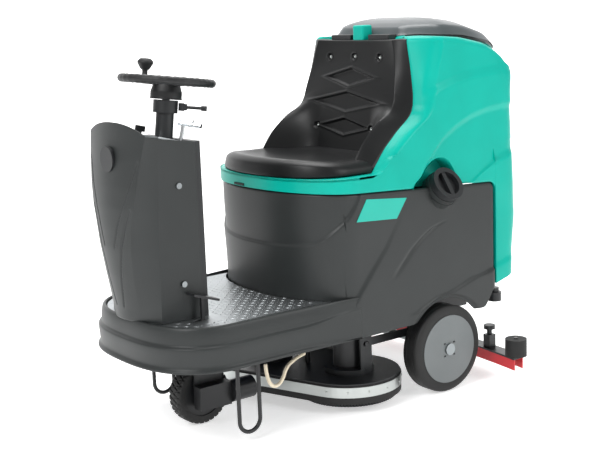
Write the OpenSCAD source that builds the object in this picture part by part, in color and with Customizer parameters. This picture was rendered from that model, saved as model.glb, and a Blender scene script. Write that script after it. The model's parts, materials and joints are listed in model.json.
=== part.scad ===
// Ride-on floor scrubber. The front faces -Y, the driver's left hand is +X, +Z is up, sizes in mm.
// The origin is on the floor under the middle of the machine.

/* [Overall] */
// Width over the tank sides
body_w = 660; // [600:5:800]
// Rear axle to drive wheel axle
wheelbase = 785; // [700:5:950]
// Height of the line between the grey tank and the recovery tank, at the front
part_z = 734; // [650:2:900]
// Height of the recovery tank above that line
tank_h = 456; // [400:2:560]
// Wall of the moulded tanks and covers
wall = 6; // [4:0.5:8]
/* [Wheels] */
// Diameter of a rear wheel
rear_d = 300; // [250:2:360]
// Width of a rear tyre
rear_w = 78; // [60:1:90]
// Diameter of the drive wheel
drive_d = 196; // [170:2:220]
// Width of the drive tyre
drive_w = 60; // [48:1:70]
// Rear axle shaft diameter
axle_d = 25; // [20:1:32]
/* [Platform] */
// Height of the footplate's top face
plate_z = 391; // [370:1:430]
// Height of the platform's lower edge
skirt_z = 228; // [222:1:240]
// Thickness of the footplate
plate_t = 3; // [2:0.5:5]
/* [Steering] */
// Height of the steering wheel's rim
rim_z = 1097; // [1050:1:1180]
// Diameter of the rim's centre line
rim_d = 272; // [240:2:340]
// Thickness of the rim
rim_t = 25; // [20:1:30]
// Lean of the column towards the driver, in degrees
column_tilt = 7.6; // [5:0.2:10]
// Steering shaft diameter
shaft_d = 24; // [18:1:26]
// Teeth ratio of the steering chain drive
chain_ratio = 3; // [2.5:0.1:3.2]
/* [Brush deck] */
// Diameter of one brush
brush_d = 320; // [270:2:330]
// Distance between the brush centres along the machine
brush_skew = 110; // [80:2:150]
// Gap between the bristles and the floor with the deck up
brush_gap = 22; // [15:1:30]
/* [Squeegee] */
// Distance between the two guard roller centres
squeegee_span = 844; // [700:2:960]
// Diameter of a guard roller
roller_d = 74; // [60:1:84]
// Gap between the blades and the floor with the squeegee up
squeegee_gap = 48; // [30:1:60]
/* [Seat] */
// Width of the seat cushion
seat_w = 590; // [520:5:640]
// Thickness of the seat cushion
cushion_t = 56; // [45:1:75]

/* [Hidden] */
$fn = 48;
run = 0.05;   // radial clearance of a running fit
charcoal = "#4a4e4d";
teal = "#0fc4b0";
black = "#1d1e1f";
steel = "#9a9da0";
axle_y = 342;
axle_z = rear_d / 2;
drive_y = axle_y - wheelbase;
drive_z = drive_d / 2;
half_w = body_w / 2;
nose_y = drive_y - 265;
pedestal_y = axle_y - 555;
tail_y = axle_y + 386;
rail_x = 200;       // middle of a frame rail
rail_b = 40;        // frame rail, square tube
rail_z = skirt_z + 17;
rail_top = rail_z + rail_b;
floor_z = rail_top + 50;    // battery floor
lower_rear_y = axle_y + 235;
part_fall = 42;             // the tank line drops by this much from front to rear
column_y = drive_y - 53;
ball_z = plate_z + 89;
ball_y = column_y - (rim_z - ball_z) * tan(column_tilt);
ball_r = 14;
shaft_len = (rim_z - ball_z) / cos(column_tilt);
sprocket_z = rail_top + 52;
sprocket_r = 18;
fork_r = sprocket_r * chain_ratio;
wheel_arch_r = rear_d / 2 + 24;
arch_x = half_w - rear_w - 4;
wheel_x = half_w + 12;      // outer face of a rear wheel
brush_x = half_w - 15 - brush_d / 2;
deck_y = (axle_y + drive_y) / 2 + 49;
brush_at = [[brush_x, deck_y + brush_skew / 2], [-brush_x, deck_y - brush_skew / 2]];
deck_r = brush_d / 2 + 12;
brush_z = brush_gap;
deck_z = brush_z + 74;      // underside of the deck plate
arm_x = rail_x + rail_b / 2 + 6;
arm_len = 230;
arm_z = rail_z - 40;
arm_y = axle_y - 50;
sq_z = squeegee_gap + 44;   // top of the squeegee plate
sq_y = axle_y + 238;        // roller centres
sq_bow = 36;
link_y = axle_y + 96;
link_z = rail_z - 18;
link_len = 150;
tilt_y = axle_y + 255;      // hinge of the recovery tank
tilt_z = skirt_z + 28;
tank_top = part_z + tank_h;
lid_hinge_y = axle_y - 30;   // lid hinge pin
lid_hinge_z = tank_top + 20;
seat_z = part_z + 42;
cap_y = axle_y - 9;
cap_z = part_z - 29;
cap_tilt = 35;
cap_r = 58;

// Height of the tank line at a place along the machine
function line_z(y) = part_z - part_fall * (y - pedestal_y) / (lower_rear_y - pedestal_y);

// Half of a rounded end: n steps of a superellipse of half width w, depth d and power p
function nose(w, d, p, n) = [for (i = [0 : n]) let (s = 90 * i / n)
  [w * pow(sin(s), 2 / p), d * (1 - pow(cos(s), 2 / p))]];
function mirrored(pts) = [for (i = [len(pts) - 1 : -1 : 0]) [-pts[i][0], pts[i][1]]];
// Closed outline from a rounded front at y0 to a rounded rear at y1
function outline(w, y0, d0, p0, y1, d1, p1) = let (
  f = [for (q = nose(w, d0, p0, 10)) [q[0], y0 + q[1]]],
  r = [for (q = nose(w, d1, p1, 6)) [q[0], y1 - q[1]]],
  right = concat(f, [for (i = [len(r) - 1 : -1 : 0]) r[i]]),
  left = mirrored(right))
  concat([for (i = [0 : len(right) - 1]) right[i]], [for (i = [1 : len(left) - 2]) left[i]]);
function tub_plan(inset) = outline(half_w - 14 - inset, nose_y + inset, 240, 2.6, axle_y - 420, 2, 20);
function body_plan(inset, rear) = outline(half_w - inset, pedestal_y + inset, 190, 2.2, rear - inset,
  90, 4);

// Tube through a list of points: a ring of k sides at each point
function unit(v) = v / norm(v);
function tangent(p, i) = unit(p[min(i + 1, len(p) - 1)] - p[max(i - 1, 0)]);
function side_dir(t) = unit(cross(t, abs(t[0]) < 0.9 ? [1, 0, 0] : [0, 1, 0]));
module tube_along(p, r, k) {
  n = len(p);
  pts = [for (i = [0 : n - 1]) let (t = tangent(p, i), a = side_dir(t), b = cross(t, a))
    for (j = [0 : k - 1]) p[i] + r * (cos(360 * j / k) * a + sin(360 * j / k) * b)];
  sides = [for (i = [0 : n - 2]) for (j = [0 : k - 1])
    [i * k + j, (i + 1) * k + j, (i + 1) * k + (j + 1) % k, i * k + (j + 1) % k]];
  ends = [[for (j = [0 : k - 1]) j], [for (j = [k - 1 : -1 : 0]) (n - 1) * k + j]];
  polyhedron(pts, concat(sides, ends), convexity = 4);
}

module both() {
  for (s = [0, 1]) mirror([s, 0, 0]) children();
}
module bar(x0, x1, y0, y1, z0, z1) {
  translate([x0, y0, z0]) cube([x1 - x0, y1 - y0, z1 - z0]);
}
module post(r, z0, z1) { translate([0, 0, z0]) cylinder(r = r, h = z1 - z0); }
module x_rod(r, x0, x1) { translate([x0, 0, 0]) rotate([0, 90, 0]) cylinder(r = r, h = x1 - x0); }

// ---- frame and running gear -------------------------------------------------------------------

module main_frame() {
  rail_y0 = drive_y - 160;
  rail_y1 = axle_y + 205;
  color(black) difference() {
    union() {
      both() bar(rail_x - rail_b / 2, rail_x + rail_b / 2, rail_y0, rail_y1, rail_z, rail_top);
      for (y = [rail_y0, drive_y + 70, axle_y - 90, rail_y1 - 2 * rail_b])
        bar(-rail_x + rail_b / 2, rail_x - rail_b / 2, y, y + rail_b, rail_z, rail_top);
      // kingpin plate and head tube
      bar(-rail_x, rail_x, drive_y - 60, drive_y + 75, rail_top, rail_top + 8);
      translate([0, drive_y, 0]) post(32, rail_z - 5, rail_top + 30);
      // lower bearing plate of the sprocket shaft
      bar(-60, 60, rail_y0, rail_y0 + 70, rail_top, rail_top + 8);
      // axle plates
      both() bar(rail_x - 18, rail_x - 10, axle_y - 40, axle_y + 40, axle_z - 30, rail_z);
      // deck arm pivots
      both() bar(arm_x - 14, arm_x - 6, arm_y - 25, arm_y + 25, arm_z - 18, rail_z);
      both() translate([0, arm_y, arm_z]) x_rod(8, arm_x - 8, arm_x + 8);
      // squeegee link ears
      both() bar(28, 36, link_y - 20, link_y + 84, link_z - 20, rail_z + 4);
      translate([0, link_y, link_z]) x_rod(8, -28, 28);
      // recovery tank hinge ears
      both() bar(110, 118, axle_y + 150, tilt_y + 18, tilt_z - 16, rail_z + 4);
      both() translate([0, tilt_y, tilt_z]) x_rod(8, 112, 150);
    }
    translate([0, drive_y, 0]) post(20 + run, 0, rail_top + 60);
    translate([0, ball_y, 0]) post(10 + run, 0, rail_top + 60);
    translate([0, axle_y, axle_z]) x_rod(axle_d / 2, -half_w, half_w);
  }
}

module rear_axle() {
  color(steel) translate([0, axle_y, axle_z]) x_rod(axle_d / 2, -wheel_x, wheel_x);
}

module axle_caps() {
  color("#8b9093") both() translate([0, axle_y, axle_z]) x_rod(20, wheel_x, wheel_x + 5);
}

module rear_hub(s) {
  hub_r = rear_d / 2 - 34;
  color("#81878a") mirror([s > 0 ? 0 : 1, 0, 0]) translate([0, axle_y, axle_z]) difference() {
    union() {
      x_rod(hub_r, wheel_x - 6, wheel_x - 1);
      x_rod(hub_r, wheel_x - rear_w, wheel_x - rear_w + 5);
      x_rod(hub_r - 20, wheel_x - rear_w + 5, wheel_x - 6);
      difference() {
        x_rod(hub_r, wheel_x - rear_w + 5, wheel_x - 6);
        x_rod(hub_r - 12, 0, wheel_x);
      }
    }
    x_rod(axle_d / 2 + run, 0, wheel_x + 10);
    for (a = [45 : 90 : 315]) rotate([a, 0, 0]) translate([0, 30, 0]) x_rod(4, 0, wheel_x + 10);
  }
}

module rear_tyre(s) {
  hub_r = rear_d / 2 - 34;
  x0 = wheel_x - rear_w;
  color(black) mirror([s > 0 ? 0 : 1, 0, 0]) translate([0, axle_y, axle_z]) difference() {
    union() {
      x_rod(rear_d / 2, x0 + 8, wheel_x - 9);
      x_rod(rear_d / 2 - 6, x0 + 1, wheel_x - 2);
    }
    x_rod(hub_r, 0, wheel_x + 10);
  }
}

module drive_fork() {
  cheek = drive_w / 2 + 6;
  color(black) translate([0, drive_y, 0]) difference() {
    union() {
      post(70, skirt_z - 18, skirt_z - 8);
      post(20, skirt_z - 8, sprocket_z + 16);
      bar(cheek, cheek + 9, -42, 60, drive_z - 30, skirt_z - 18);
      bar(-cheek - 9, -cheek, -42, 42, drive_z - 30, skirt_z - 18);
    }
    translate([0, 0, drive_z]) x_rod(10 + run, -100, 100);
  }
}

module fork_sprocket() {
  color(steel) translate([0, drive_y, 0]) difference() {
    post(fork_r, sprocket_z, sprocket_z + 6);
    post(20, 0, sprocket_z + 20);
  }
}

module drive_motor() {
  x0 = drive_w / 2 + 15;
  color(black) translate([0, drive_y, drive_z]) difference() {
    union() {
      bar(x0, x0 + 38, -46, 70, -34, 42);
      translate([x0 + 28, 70, 6]) rotate([-90, 0, 0]) cylinder(r = 36, h = 82);
    }
    x_rod(11, 0, x0 + 20);
  }
}

module drive_hub() {
  color("#7d8386") translate([0, drive_y, drive_z]) {
    x_rod(drive_z - 28, -drive_w / 2 + 4, drive_w / 2 - 4);
    x_rod(18, -drive_w / 2 - 4, drive_w / 2 + 4);
    x_rod(10, -drive_w / 2 - 18, drive_w / 2 + 24);
  }
}

module drive_tyre() {
  color(black) translate([0, drive_y, drive_z]) difference() {
    union() {
      x_rod(drive_z, -drive_w / 2 + 7, drive_w / 2 - 7);
      x_rod(drive_z - 5, -drive_w / 2, drive_w / 2);
    }
    x_rod(drive_z - 28, -drive_w, drive_w);
  }
}

module guard_hoop(s) {
  r = 6.5;
  leg = 38;
  color(black) mirror([s > 0 ? 0 : 1, 0, 0]) translate([half_w - 75, drive_y + 20, 0]) {
    for (y = [-leg, leg]) translate([0, y, 31 + leg]) cylinder(r = r, h = skirt_z + 20 - 31 - leg);
    translate([0, 0, 31 + leg]) rotate([0, 90, 0]) rotate([0, 0, -90])
      rotate_extrude(angle = 180) translate([leg, 0]) circle(r = r, $fn = 24);
    // fixing strap under the frame rail
    bar(rail_x + rail_b / 2 - half_w + 75, 0, -leg - 5, leg + 5, rail_z - 8, rail_z);
  }
}

// ---- steering ----------------------------------------------------------------------------------

module on_column() { translate([0, column_y, rim_z]) rotate([-column_tilt, 0, 0]) children(); }

module steering_column() {
  color(black) on_column() difference() {
    union() {
      post(27.5, -430, -97);
      post(38, -97, -58);
    }
    post(shaft_d / 2 + 4, -400, -80);
    post(shaft_d / 2 + run, -500, 0);
  }
}

module steering_shaft() {
  color(steel) on_column() {
    post(shaft_d / 2, -shaft_len + 60, -12);
    post(10, -shaft_len, -shaft_len + 60);
    translate([0, 0, -shaft_len]) sphere(r = ball_r);
  }
}

module steering_wheel() {
  color(black) on_column() difference() {
    union() {
      rotate_extrude($fn = 72) translate([rim_d / 2, 0]) circle(r = rim_t / 2, $fn = 24);
      post(48, -56, -30);
      translate([0, 0, -30]) cylinder(r1 = 48, r2 = 34, h = 26);
      for (a = [0, 180, 270]) rotate([0, 0, a]) bar(20, rim_d / 2 - rim_t / 2 + 4, -18, 18, -12, -4);
    }
    post(shaft_d / 2, -80, -12);
  }
}

module spinner_knob() {
  color(black) on_column() translate([-rim_d / 2, 0, rim_t / 2]) {
    post(9, 0.6, 18);
    translate([0, 0, 18]) cylinder(r1 = 12, r2 = 25, h = 22);
    translate([0, 0, 40]) cylinder(r1 = 25, r2 = 17, h = 14);
  }
}

module turn_switch() {
  color(black) on_column() translate([35, 35, -76]) rotate([0, 0, 45]) {
    post(9, -12, 12);
    bar(0, 17, -7, 7, -10, 10);
    translate([16, 0, 0]) x_rod(5, 0, 46);
    translate([62, 0, 0]) x_rod(8, 0, 16);
  }
}

module sprocket_shaft() {
  color(steel) translate([0, ball_y, 0]) {
    post(10, rail_z, ball_z - 20);
    post(sprocket_r, sprocket_z, sprocket_z + 6);
    difference() {
      post(21, ball_z - 20, ball_z + 6);
      translate([0, 0, ball_z]) sphere(r = ball_r + 0.3);
      post(13.4, ball_z, ball_z + 10);
    }
  }
}

// Endless chain: an arc round each sprocket, joined by two straight runs
module steering_chain() {
  d = drive_y - ball_y;
  ro = fork_r + 6;
  ri = sprocket_r + 6;
  a = asin((ro - ri) / d);
  function loop(e) = concat(
    [for (i = [0 : 24]) let (t = -a + (180 + 2 * a) * i / 24) [(ro + e) * cos(t), drive_y + (ro + e) * sin(t)]],
    [for (i = [0 : 12]) let (t = 180 + a + (180 - 2 * a) * i / 12)
      [(ri + e) * cos(t), ball_y + (ri + e) * sin(t)]]);
  color("#6f7274") translate([0, 0, sprocket_z - 1]) linear_extrude(8) difference() {
    polygon(loop(0));
    polygon(loop(-5.5));
  }
}

// ---- platform and cowl --------------------------------------------------------------------------

module lower_body() {
  tilt = atan(part_fall / (lower_rear_y - pedestal_y));
  module under_line(drop) {
    translate([0, pedestal_y, part_z - drop]) rotate([-tilt, 0, 0]) translate([-500, -100, -900])
      cube([1000, 1200, 900]);
  }
  module slab(plan, z0, z1) { translate([0, 0, z0]) linear_extrude(z1 - z0) polygon(plan); }
  well_y1 = axle_y - 95;
  color(charcoal) difference() {
    union() {
      slab(tub_plan(0), skirt_z, skirt_z + 92);
      slab(tub_plan(14), skirt_z + 92, plate_z - plate_t);
      intersection() {
        slab(body_plan(0, lower_rear_y), skirt_z + 24, part_z + 20);
        under_line(0);
      }
    }
    // open underside
    slab(tub_plan(wall + 14), skirt_z - 1, plate_z - plate_t - wall);
    slab(tub_plan(wall), skirt_z - 1, skirt_z + 92 - wall);
    difference() {
      slab(body_plan(wall, lower_rear_y), skirt_z, floor_z - wall);
      both() translate([0, axle_y, axle_z]) x_rod(wheel_arch_r + wall, arch_x - wall, half_w);
    }
    // battery well
    intersection() {
      slab(body_plan(wall, well_y1), floor_z, part_z + 50);
      bar(-rail_x - 40, rail_x + 40, pedestal_y, well_y1, floor_z, part_z + 50);
    }
    // water space behind and beside the well, filled through the neck
    intersection() {
      under_line(wall);
      difference() {
        slab(body_plan(wall, lower_rear_y), floor_z, part_z + 50);
        bar(-rail_x - 40 - wall, rail_x + 40 + wall, pedestal_y - 10, well_y1 + wall, 0, 1000);
        both() translate([0, axle_y, axle_z]) x_rod(wheel_arch_r + wall, arch_x - wall, half_w);
      }
    }
    both() translate([0, axle_y, axle_z]) x_rod(wheel_arch_r, arch_x, half_w + 50);
    // neck hole
    on_neck() post(cap_r + 1.6, -8, 80);
    // steering shaft hole
    translate([0, ball_y, 0]) post(28, plate_z - 40, plate_z + 1);
    // pedal stalk slot
    pedal_slot(plate_z - 40, plate_z + 1, 0);
  }
}

pedal_at = [182, drive_y - 84];
module pedal_slot(z0, z1, extra) {
  for (y = [-26, 4]) translate([pedal_at[0], pedal_at[1] + y, 0]) post(9 + extra, z0, z1);
  bar(pedal_at[0] - 9 - extra, pedal_at[0] + 9 + extra, pedal_at[1] - 26, pedal_at[1] + 4, z0, z1);
}

module footplate() {
  color("#b9bcbc") difference() {
    translate([0, 0, plate_z - plate_t]) linear_extrude(plate_t) difference() {
      polygon(tub_plan(24));
      polygon(body_plan(-0.4, lower_rear_y));
    }
    translate([0, ball_y, 0]) post(26, 0, plate_z + 1);
    pedal_slot(0, plate_z + 1, 0.5);
  }
}

// Cowl half-section at height share t of 0 to 1: crown, crease, chamfer corner and rear edge
cowl_z0 = plate_z;
cowl_h = 564;
cowl_rear = drive_y - 62;
crease_w = [[0, 82], [0.25, 87], [0.4, 97], [0.52, 108], [0.62, 124], [0.88, 153], [1, 166]];
crease_y = [[0, -240], [0.25, -256], [0.4, -264], [0.52, -266], [0.62, -264], [0.88, -247], [1, -235]];
function cowl_side(t, e) = [
  [0, lookup(t, crease_y) - 20 + e],
  [lookup(t, crease_w) * 0.5, lookup(t, crease_y) - 15 + e],
  [lookup(t, crease_w) - e * 0.4, lookup(t, crease_y) + e],
  [max(lookup(t, crease_w) + 2, 150) + 6 - e, max(lookup(t, crease_y) + 12, -206) + e * 0.4],
  [156 - e, -130],
  [150 - e, cowl_rear - drive_y]];
cowl_tops = [32, 25, 0, -10, -38, -31];
module front_cowl() {
  steps = [0, 0.15, 0.3, 0.45, 0.6, 0.75, 0.9, 1];
  function ring(t) = let (o = cowl_side(t, 0), i = cowl_side(t, 4), m = len(o),
    at = [for (k = [0 : m - 1]) cowl_z0 + t * (cowl_h + cowl_tops[k])])
    concat([for (k = [m - 1 : -1 : 1]) [-o[k][0], drive_y + o[k][1], at[k]]],
      [for (k = [0 : m - 1]) [o[k][0], drive_y + o[k][1], at[k]]],
      [for (k = [m - 1 : -1 : 0]) [i[k][0], drive_y + i[k][1], at[k]]],
      [for (k = [1 : m - 1]) [-i[k][0], drive_y + i[k][1], at[k]]]);
  rings = [for (t = steps) ring(t)];
  k = len(rings[0]);
  n = len(steps);
  pts = [for (r = rings) for (q = r) q];
  sides = [for (i = [0 : n - 2]) for (j = [0 : k - 1]) let (a = i * k + j, b = i * k + (j + 1) % k)
    each [[a, a + k, b + k], [a, b + k, b]]];
  caps = [for (j = [0 : k / 2 - 2]) each [
    [j, j + 1, k - 1 - j], [j + 1, k - 2 - j, k - 1 - j],
    [(n - 1) * k + j, (n - 1) * k + k - 1 - j, (n - 1) * k + j + 1],
    [(n - 1) * k + j + 1, (n - 1) * k + k - 1 - j, (n - 1) * k + k - 2 - j]]];
  color(charcoal) polyhedron(pts, concat(sides, caps), convexity = 6);
}

module cowl_back() {
  top = cowl_z0 + cowl_h + cowl_tops[5];
  color(black) difference() {
    bar(-150, 150, cowl_rear, cowl_rear + 20, cowl_z0, top);
    bar(-146, 146, cowl_rear - 1, cowl_rear + 16, cowl_z0 - 1, top - 4);
    on_column() post(28.5, -300, -60);
  }
}

dash_z = cowl_z0 + cowl_h - 36;
module on_dash() { translate([0, cowl_rear - 1, dash_z]) rotate([-14, 0, 0]) children(); }
module dash_panel() {
  color("#c5d3da") difference() {
    on_dash() bar(-145, 145, -118, 0, -5, 0);
    on_column() post(28.5, -300, -60);
    on_dash() translate([-70, -60, -10]) cylinder(r = 8, h = 20);
    on_dash() bar(96, 116, -30, -6, -10, 10);
  }
  // pin and ears of the direction lever, under the panel
  color(black) on_dash() {
    for (x = [92, 117]) bar(x, x + 3, -25, -11, -22, -4);
    translate([0, -18, -16]) x_rod(3, 92, 120);
  }
}

module cowl_screws() {
  color(steel) both() for (z = [plate_z + 112, plate_z + 408])
    translate([0, drive_y - 127, z]) x_rod(9, 157, 161);
}

module cowl_badge() {
  color("#141414") translate([0, drive_y - 266, plate_z + 490]) rotate([90, 0, 0])
    linear_extrude(9) circle(r = 38);
}

module side_plates() {
  color(teal) both() translate([half_w, 0, 0]) rotate([90, 0, 90]) linear_extrude(1.5)
    polygon([for (q = [[-340, -30], [-172, -46], [-216, -108], [-383, -97]]) [axle_y + q[0], part_z + q[1]]]);
}

module accelerator_pedal() {
  color(black) translate([pedal_at[0], pedal_at[1], 0]) {
    bar(-5, 5, -5, 6, rail_top + 32, plate_z + 70);
    translate([0, 0, plate_z + 72]) rotate([-18, 0, 0]) bar(-22, 22, -40, 52, -4, 3);
    translate([0, 0, rail_top + 32]) x_rod(8, -14, 14);
  }
}

module direction_lever() {
  color(steel) on_dash() {
    translate([106, -18, 0]) {
      post(6, -11, 48);
      translate([0, 0, -16]) difference() {
        x_rod(7, -9, 9);
        x_rod(3 + run, -20, 20);
      }
      translate([0, 0, 52]) rotate([0, 0, 35]) x_rod(7, -16, 58);
      translate([0, 0, 62]) rotate([0, 0, 35]) x_rod(5, -12, 30);
    }
  }
}

module key_knob() {
  color(black) on_dash() translate([-70, -60, 0]) {
    post(7, -18, 12);
    bar(-4, 4, -16, 16, 12, 30);
  }
}

// ---- inside --------------------------------------------------------------------------------------

module batteries() {
  y0 = pedestal_y + 40;
  color("#2b4d7a") for (ix = [0, 1]) for (iy = [0, 1])
    translate([-190 + ix * 196, y0 + iy * 190, floor_z]) {
      bar(0, 184, 0, 180, 0, 250);
      for (x = [30, 154]) translate([x, 90, 250]) cylinder(r = 9, h = 14);
    }
}

module controller_box() {
  color("#55595c") bar(-110, -10, drive_y - 218, drive_y - 168, plate_z, plate_z + 180);
}

module lift_actuator() {
  y = (brush_at[0][1] + brush_at[1][1]) / 2;
  color(steel) translate([0, y, 0]) difference() {
    union() {
      post(24, rail_z - 20, floor_z - wall);
      both() bar(20, rail_x - rail_b / 2, -20, 20, rail_z + 8, rail_z + 24);
    }
    post(9 + run, 0, floor_z - wall - 6);
  }
}

module solution_filter() {
  color("#d8d8d2") translate([-90, axle_y - 10, 0]) {
    post(34, rail_z - 30, rail_z + 20);
    post(20, rail_z + 20, floor_z - wall);
  }
}

module on_neck() {
  translate([half_w - 22, cap_y, cap_z - 20]) rotate([0, 90 - cap_tilt, 0]) children();
}
module filler_neck() {
  color(charcoal) on_neck() difference() {
    post(cap_r + 1.6, -8, 36);
    post(cap_r - 5, -40, 50);
  }
}
module filler_cap() {
  color(black) on_neck() difference() {
    union() {
      post(cap_r, 36.4, 60);
      post(cap_r - 6, 4, 36.4);
    }
    post(cap_r - 16, 42, 70);
    post(cap_r - 12, 0, 36);
  }
  color(black) on_neck() bar(-cap_r + 12, cap_r - 12, -8, 8, 40, 57);
}

// ---- brush deck ------------------------------------------------------------------------------------

// Two round ends of radius r joined by straight sides
module deck_plan(r) {
  v = brush_at[0] - brush_at[1];
  turn = atan2(v[1], v[0]);
  polygon([for (k = [0, 1]) for (i = [0 : 30]) let (t = turn - 90 + 180 * k + 6 * i)
    brush_at[k] + r * [cos(t), sin(t)]]);
}
module deck_ring(r1, r0, z0, z1) {
  translate([0, 0, z0]) linear_extrude(z1 - z0) difference() {
    deck_plan(r1);
    deck_plan(r0);
  }
}

module deck_cover() {
  y = (brush_at[0][1] + brush_at[1][1]) / 2;
  color(black) difference() {
    union() {
      translate([0, 0, deck_z]) linear_extrude(6) deck_plan(deck_r - 1);
      deck_ring(deck_r - 1, deck_r - 4, deck_z - 36, deck_z);
      for (q = brush_at) translate([q[0], q[1], 0]) post(84, deck_z + 6, deck_z + 24);
      both() bar(arm_x + 6, arm_x + 12, arm_y - arm_len - 24, arm_y - arm_len + 24, deck_z + 6, arm_z + 22);
      translate([0, y, 0]) post(9, deck_z + 6, floor_z - 44);
    }
    for (q = brush_at) translate([q[0], q[1], 0]) post(14 + run, 0, deck_z + 40);
    for (d = [-4, 4]) translate([0, arm_y - arm_len + d, arm_z]) x_rod(8, -half_w, half_w);
    both() bar(arm_x, arm_x + 20, arm_y - arm_len - 4, arm_y - arm_len + 4, arm_z - 8, arm_z + 8);
  }
}

module deck_band() { color("#b4b6b4") deck_ring(deck_r + 4, deck_r + 2.4, deck_z - 38, deck_z - 4); }
module deck_skirt() { color(black) deck_ring(deck_r + 2.4, deck_r - 1, deck_z - 60, deck_z); }

module brush_motors() {
  color(black) for (q = brush_at) translate([q[0], q[1], 0]) difference() {
    post(52, deck_z + 24, rail_z - 14);
    post(15, 0, deck_z + 70);
  }
}

module brush(i) {
  color("#26282a") translate([brush_at[i][0], brush_at[i][1], 0]) {
    difference() {
      post(brush_d / 2, brush_z, brush_z + 30);
      post(brush_d / 2 - 70, 0, brush_z + 31);
    }
    post(brush_d / 2 - 2, brush_z + 30, brush_z + 40);
    post(14, brush_z + 40, deck_z + 60);
  }
}

module lift_arms() {
  color(steel) both() difference() {
    union() {
      bar(arm_x - 3.5, arm_x + 3.5, arm_y - arm_len, arm_y, arm_z - 13, arm_z + 13);
      for (y = [arm_y - arm_len, arm_y]) translate([0, y, arm_z]) x_rod(15, arm_x - 3.5, arm_x + 3.5);
      translate([0, arm_y - arm_len, arm_z]) x_rod(7, arm_x + 3.5, arm_x + 16);
    }
    translate([0, arm_y, arm_z]) x_rod(8 + run, 0, half_w);
  }
}

// ---- squeegee --------------------------------------------------------------------------------------

carrier_y = link_y + link_len;
carrier_z = link_z - 12;
module squeegee_link() {
  dz = carrier_z - link_z;
  color(black) difference() {
    union() {
      for (x = [-23, 14]) translate([x, link_y, link_z]) rotate([atan2(dz, link_len), 0, 0])
        bar(0, 9, 0, norm([link_len, dz]), -10, 10);
      for (q = [[link_y, link_z], [carrier_y, carrier_z]]) translate([0, q[0], q[1]]) x_rod(16, -24, 24);
    }
    translate([0, link_y, link_z]) x_rod(8 + run, -50, 50);
    translate([0, carrier_y, carrier_z]) x_rod(8 + run, -50, 50);
  }
}

module squeegee_carrier() {
  color(black) {
    translate([0, carrier_y, carrier_z]) x_rod(8, -34, 34);
    both() bar(28, 34, carrier_y - 18, carrier_y + 40, sq_z + 62, carrier_z + 16);
    bar(-28, 28, carrier_y + 22, carrier_y + 40, sq_z + 62, carrier_z + 16);
    translate([0, carrier_y + 31, 0]) post(10, sq_z + 14, sq_z + 62);
  }
}

function bow(x) = sq_y + sq_bow * (1 - pow(2 * x / squeegee_span, 2));
function strip(w, f, b) = let (n = 16, xs = [for (i = [0 : n]) w * (2 * i / n - 1)])
  concat([for (x = xs) [x, bow(x) + f]], [for (i = [n : -1 : 0]) [xs[i], bow(xs[i]) + b]]);
module squeegee_frame() {
  half = squeegee_span / 2;
  swing_y = carrier_y + 31;
  color(black) difference() {
    union() {
      translate([0, 0, sq_z - 6]) linear_extrude(6) polygon(strip(half + 16, -26, 26));
      for (s = [-1, 1]) translate([s * half, sq_y, 0]) post(7, sq_z, sq_z + 66);
      bar(-30, 30, swing_y - 22, bow(0) + 10, sq_z, sq_z + 14);
      translate([0, swing_y, 0]) post(20, sq_z, sq_z + 40);
      // knob posts and clamp blocks
      for (s = [-1, 1]) translate([s * half * 0.66, bow(half * 0.66), 0]) {
        post(5, sq_z, sq_z + 78);
        bar(-15, 15, -15, 15, sq_z, sq_z + 46);
      }
      // suction port
      translate([-72, bow(0), 0]) post(20, sq_z, sq_z + 30);
    }
    translate([0, swing_y, 0]) post(10 + run, sq_z + 5, sq_z + 80);
    translate([-72, bow(0), 0]) post(16, 0, sq_z + 60);
  }
}

module squeegee_blades() {
  half = squeegee_span / 2;
  color("#b3242b") for (d = [-22, 18])
    translate([0, 0, squeegee_gap]) linear_extrude(sq_z - 6 - squeegee_gap)
      polygon(strip(half + 14, d, d + 4));
}

module roller(s) {
  color(black) translate([s * squeegee_span / 2, sq_y, 0]) difference() {
    post(roller_d / 2, sq_z + 3, sq_z + 63);
    post(7 + run, 0, sq_z + 100);
  }
}

module squeegee_knobs() {
  half = squeegee_span / 2;
  color(black) for (s = [-1, 1]) translate([s * half * 0.66, bow(half * 0.66), 0]) difference() {
    union() {
      post(9, sq_z + 46, sq_z + 66);
      post(20, sq_z + 66, sq_z + 80);
    }
    post(5, 0, sq_z + 78);
  }
}

// ---- recovery tank, seat and lid ---------------------------------------------------------------------

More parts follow.
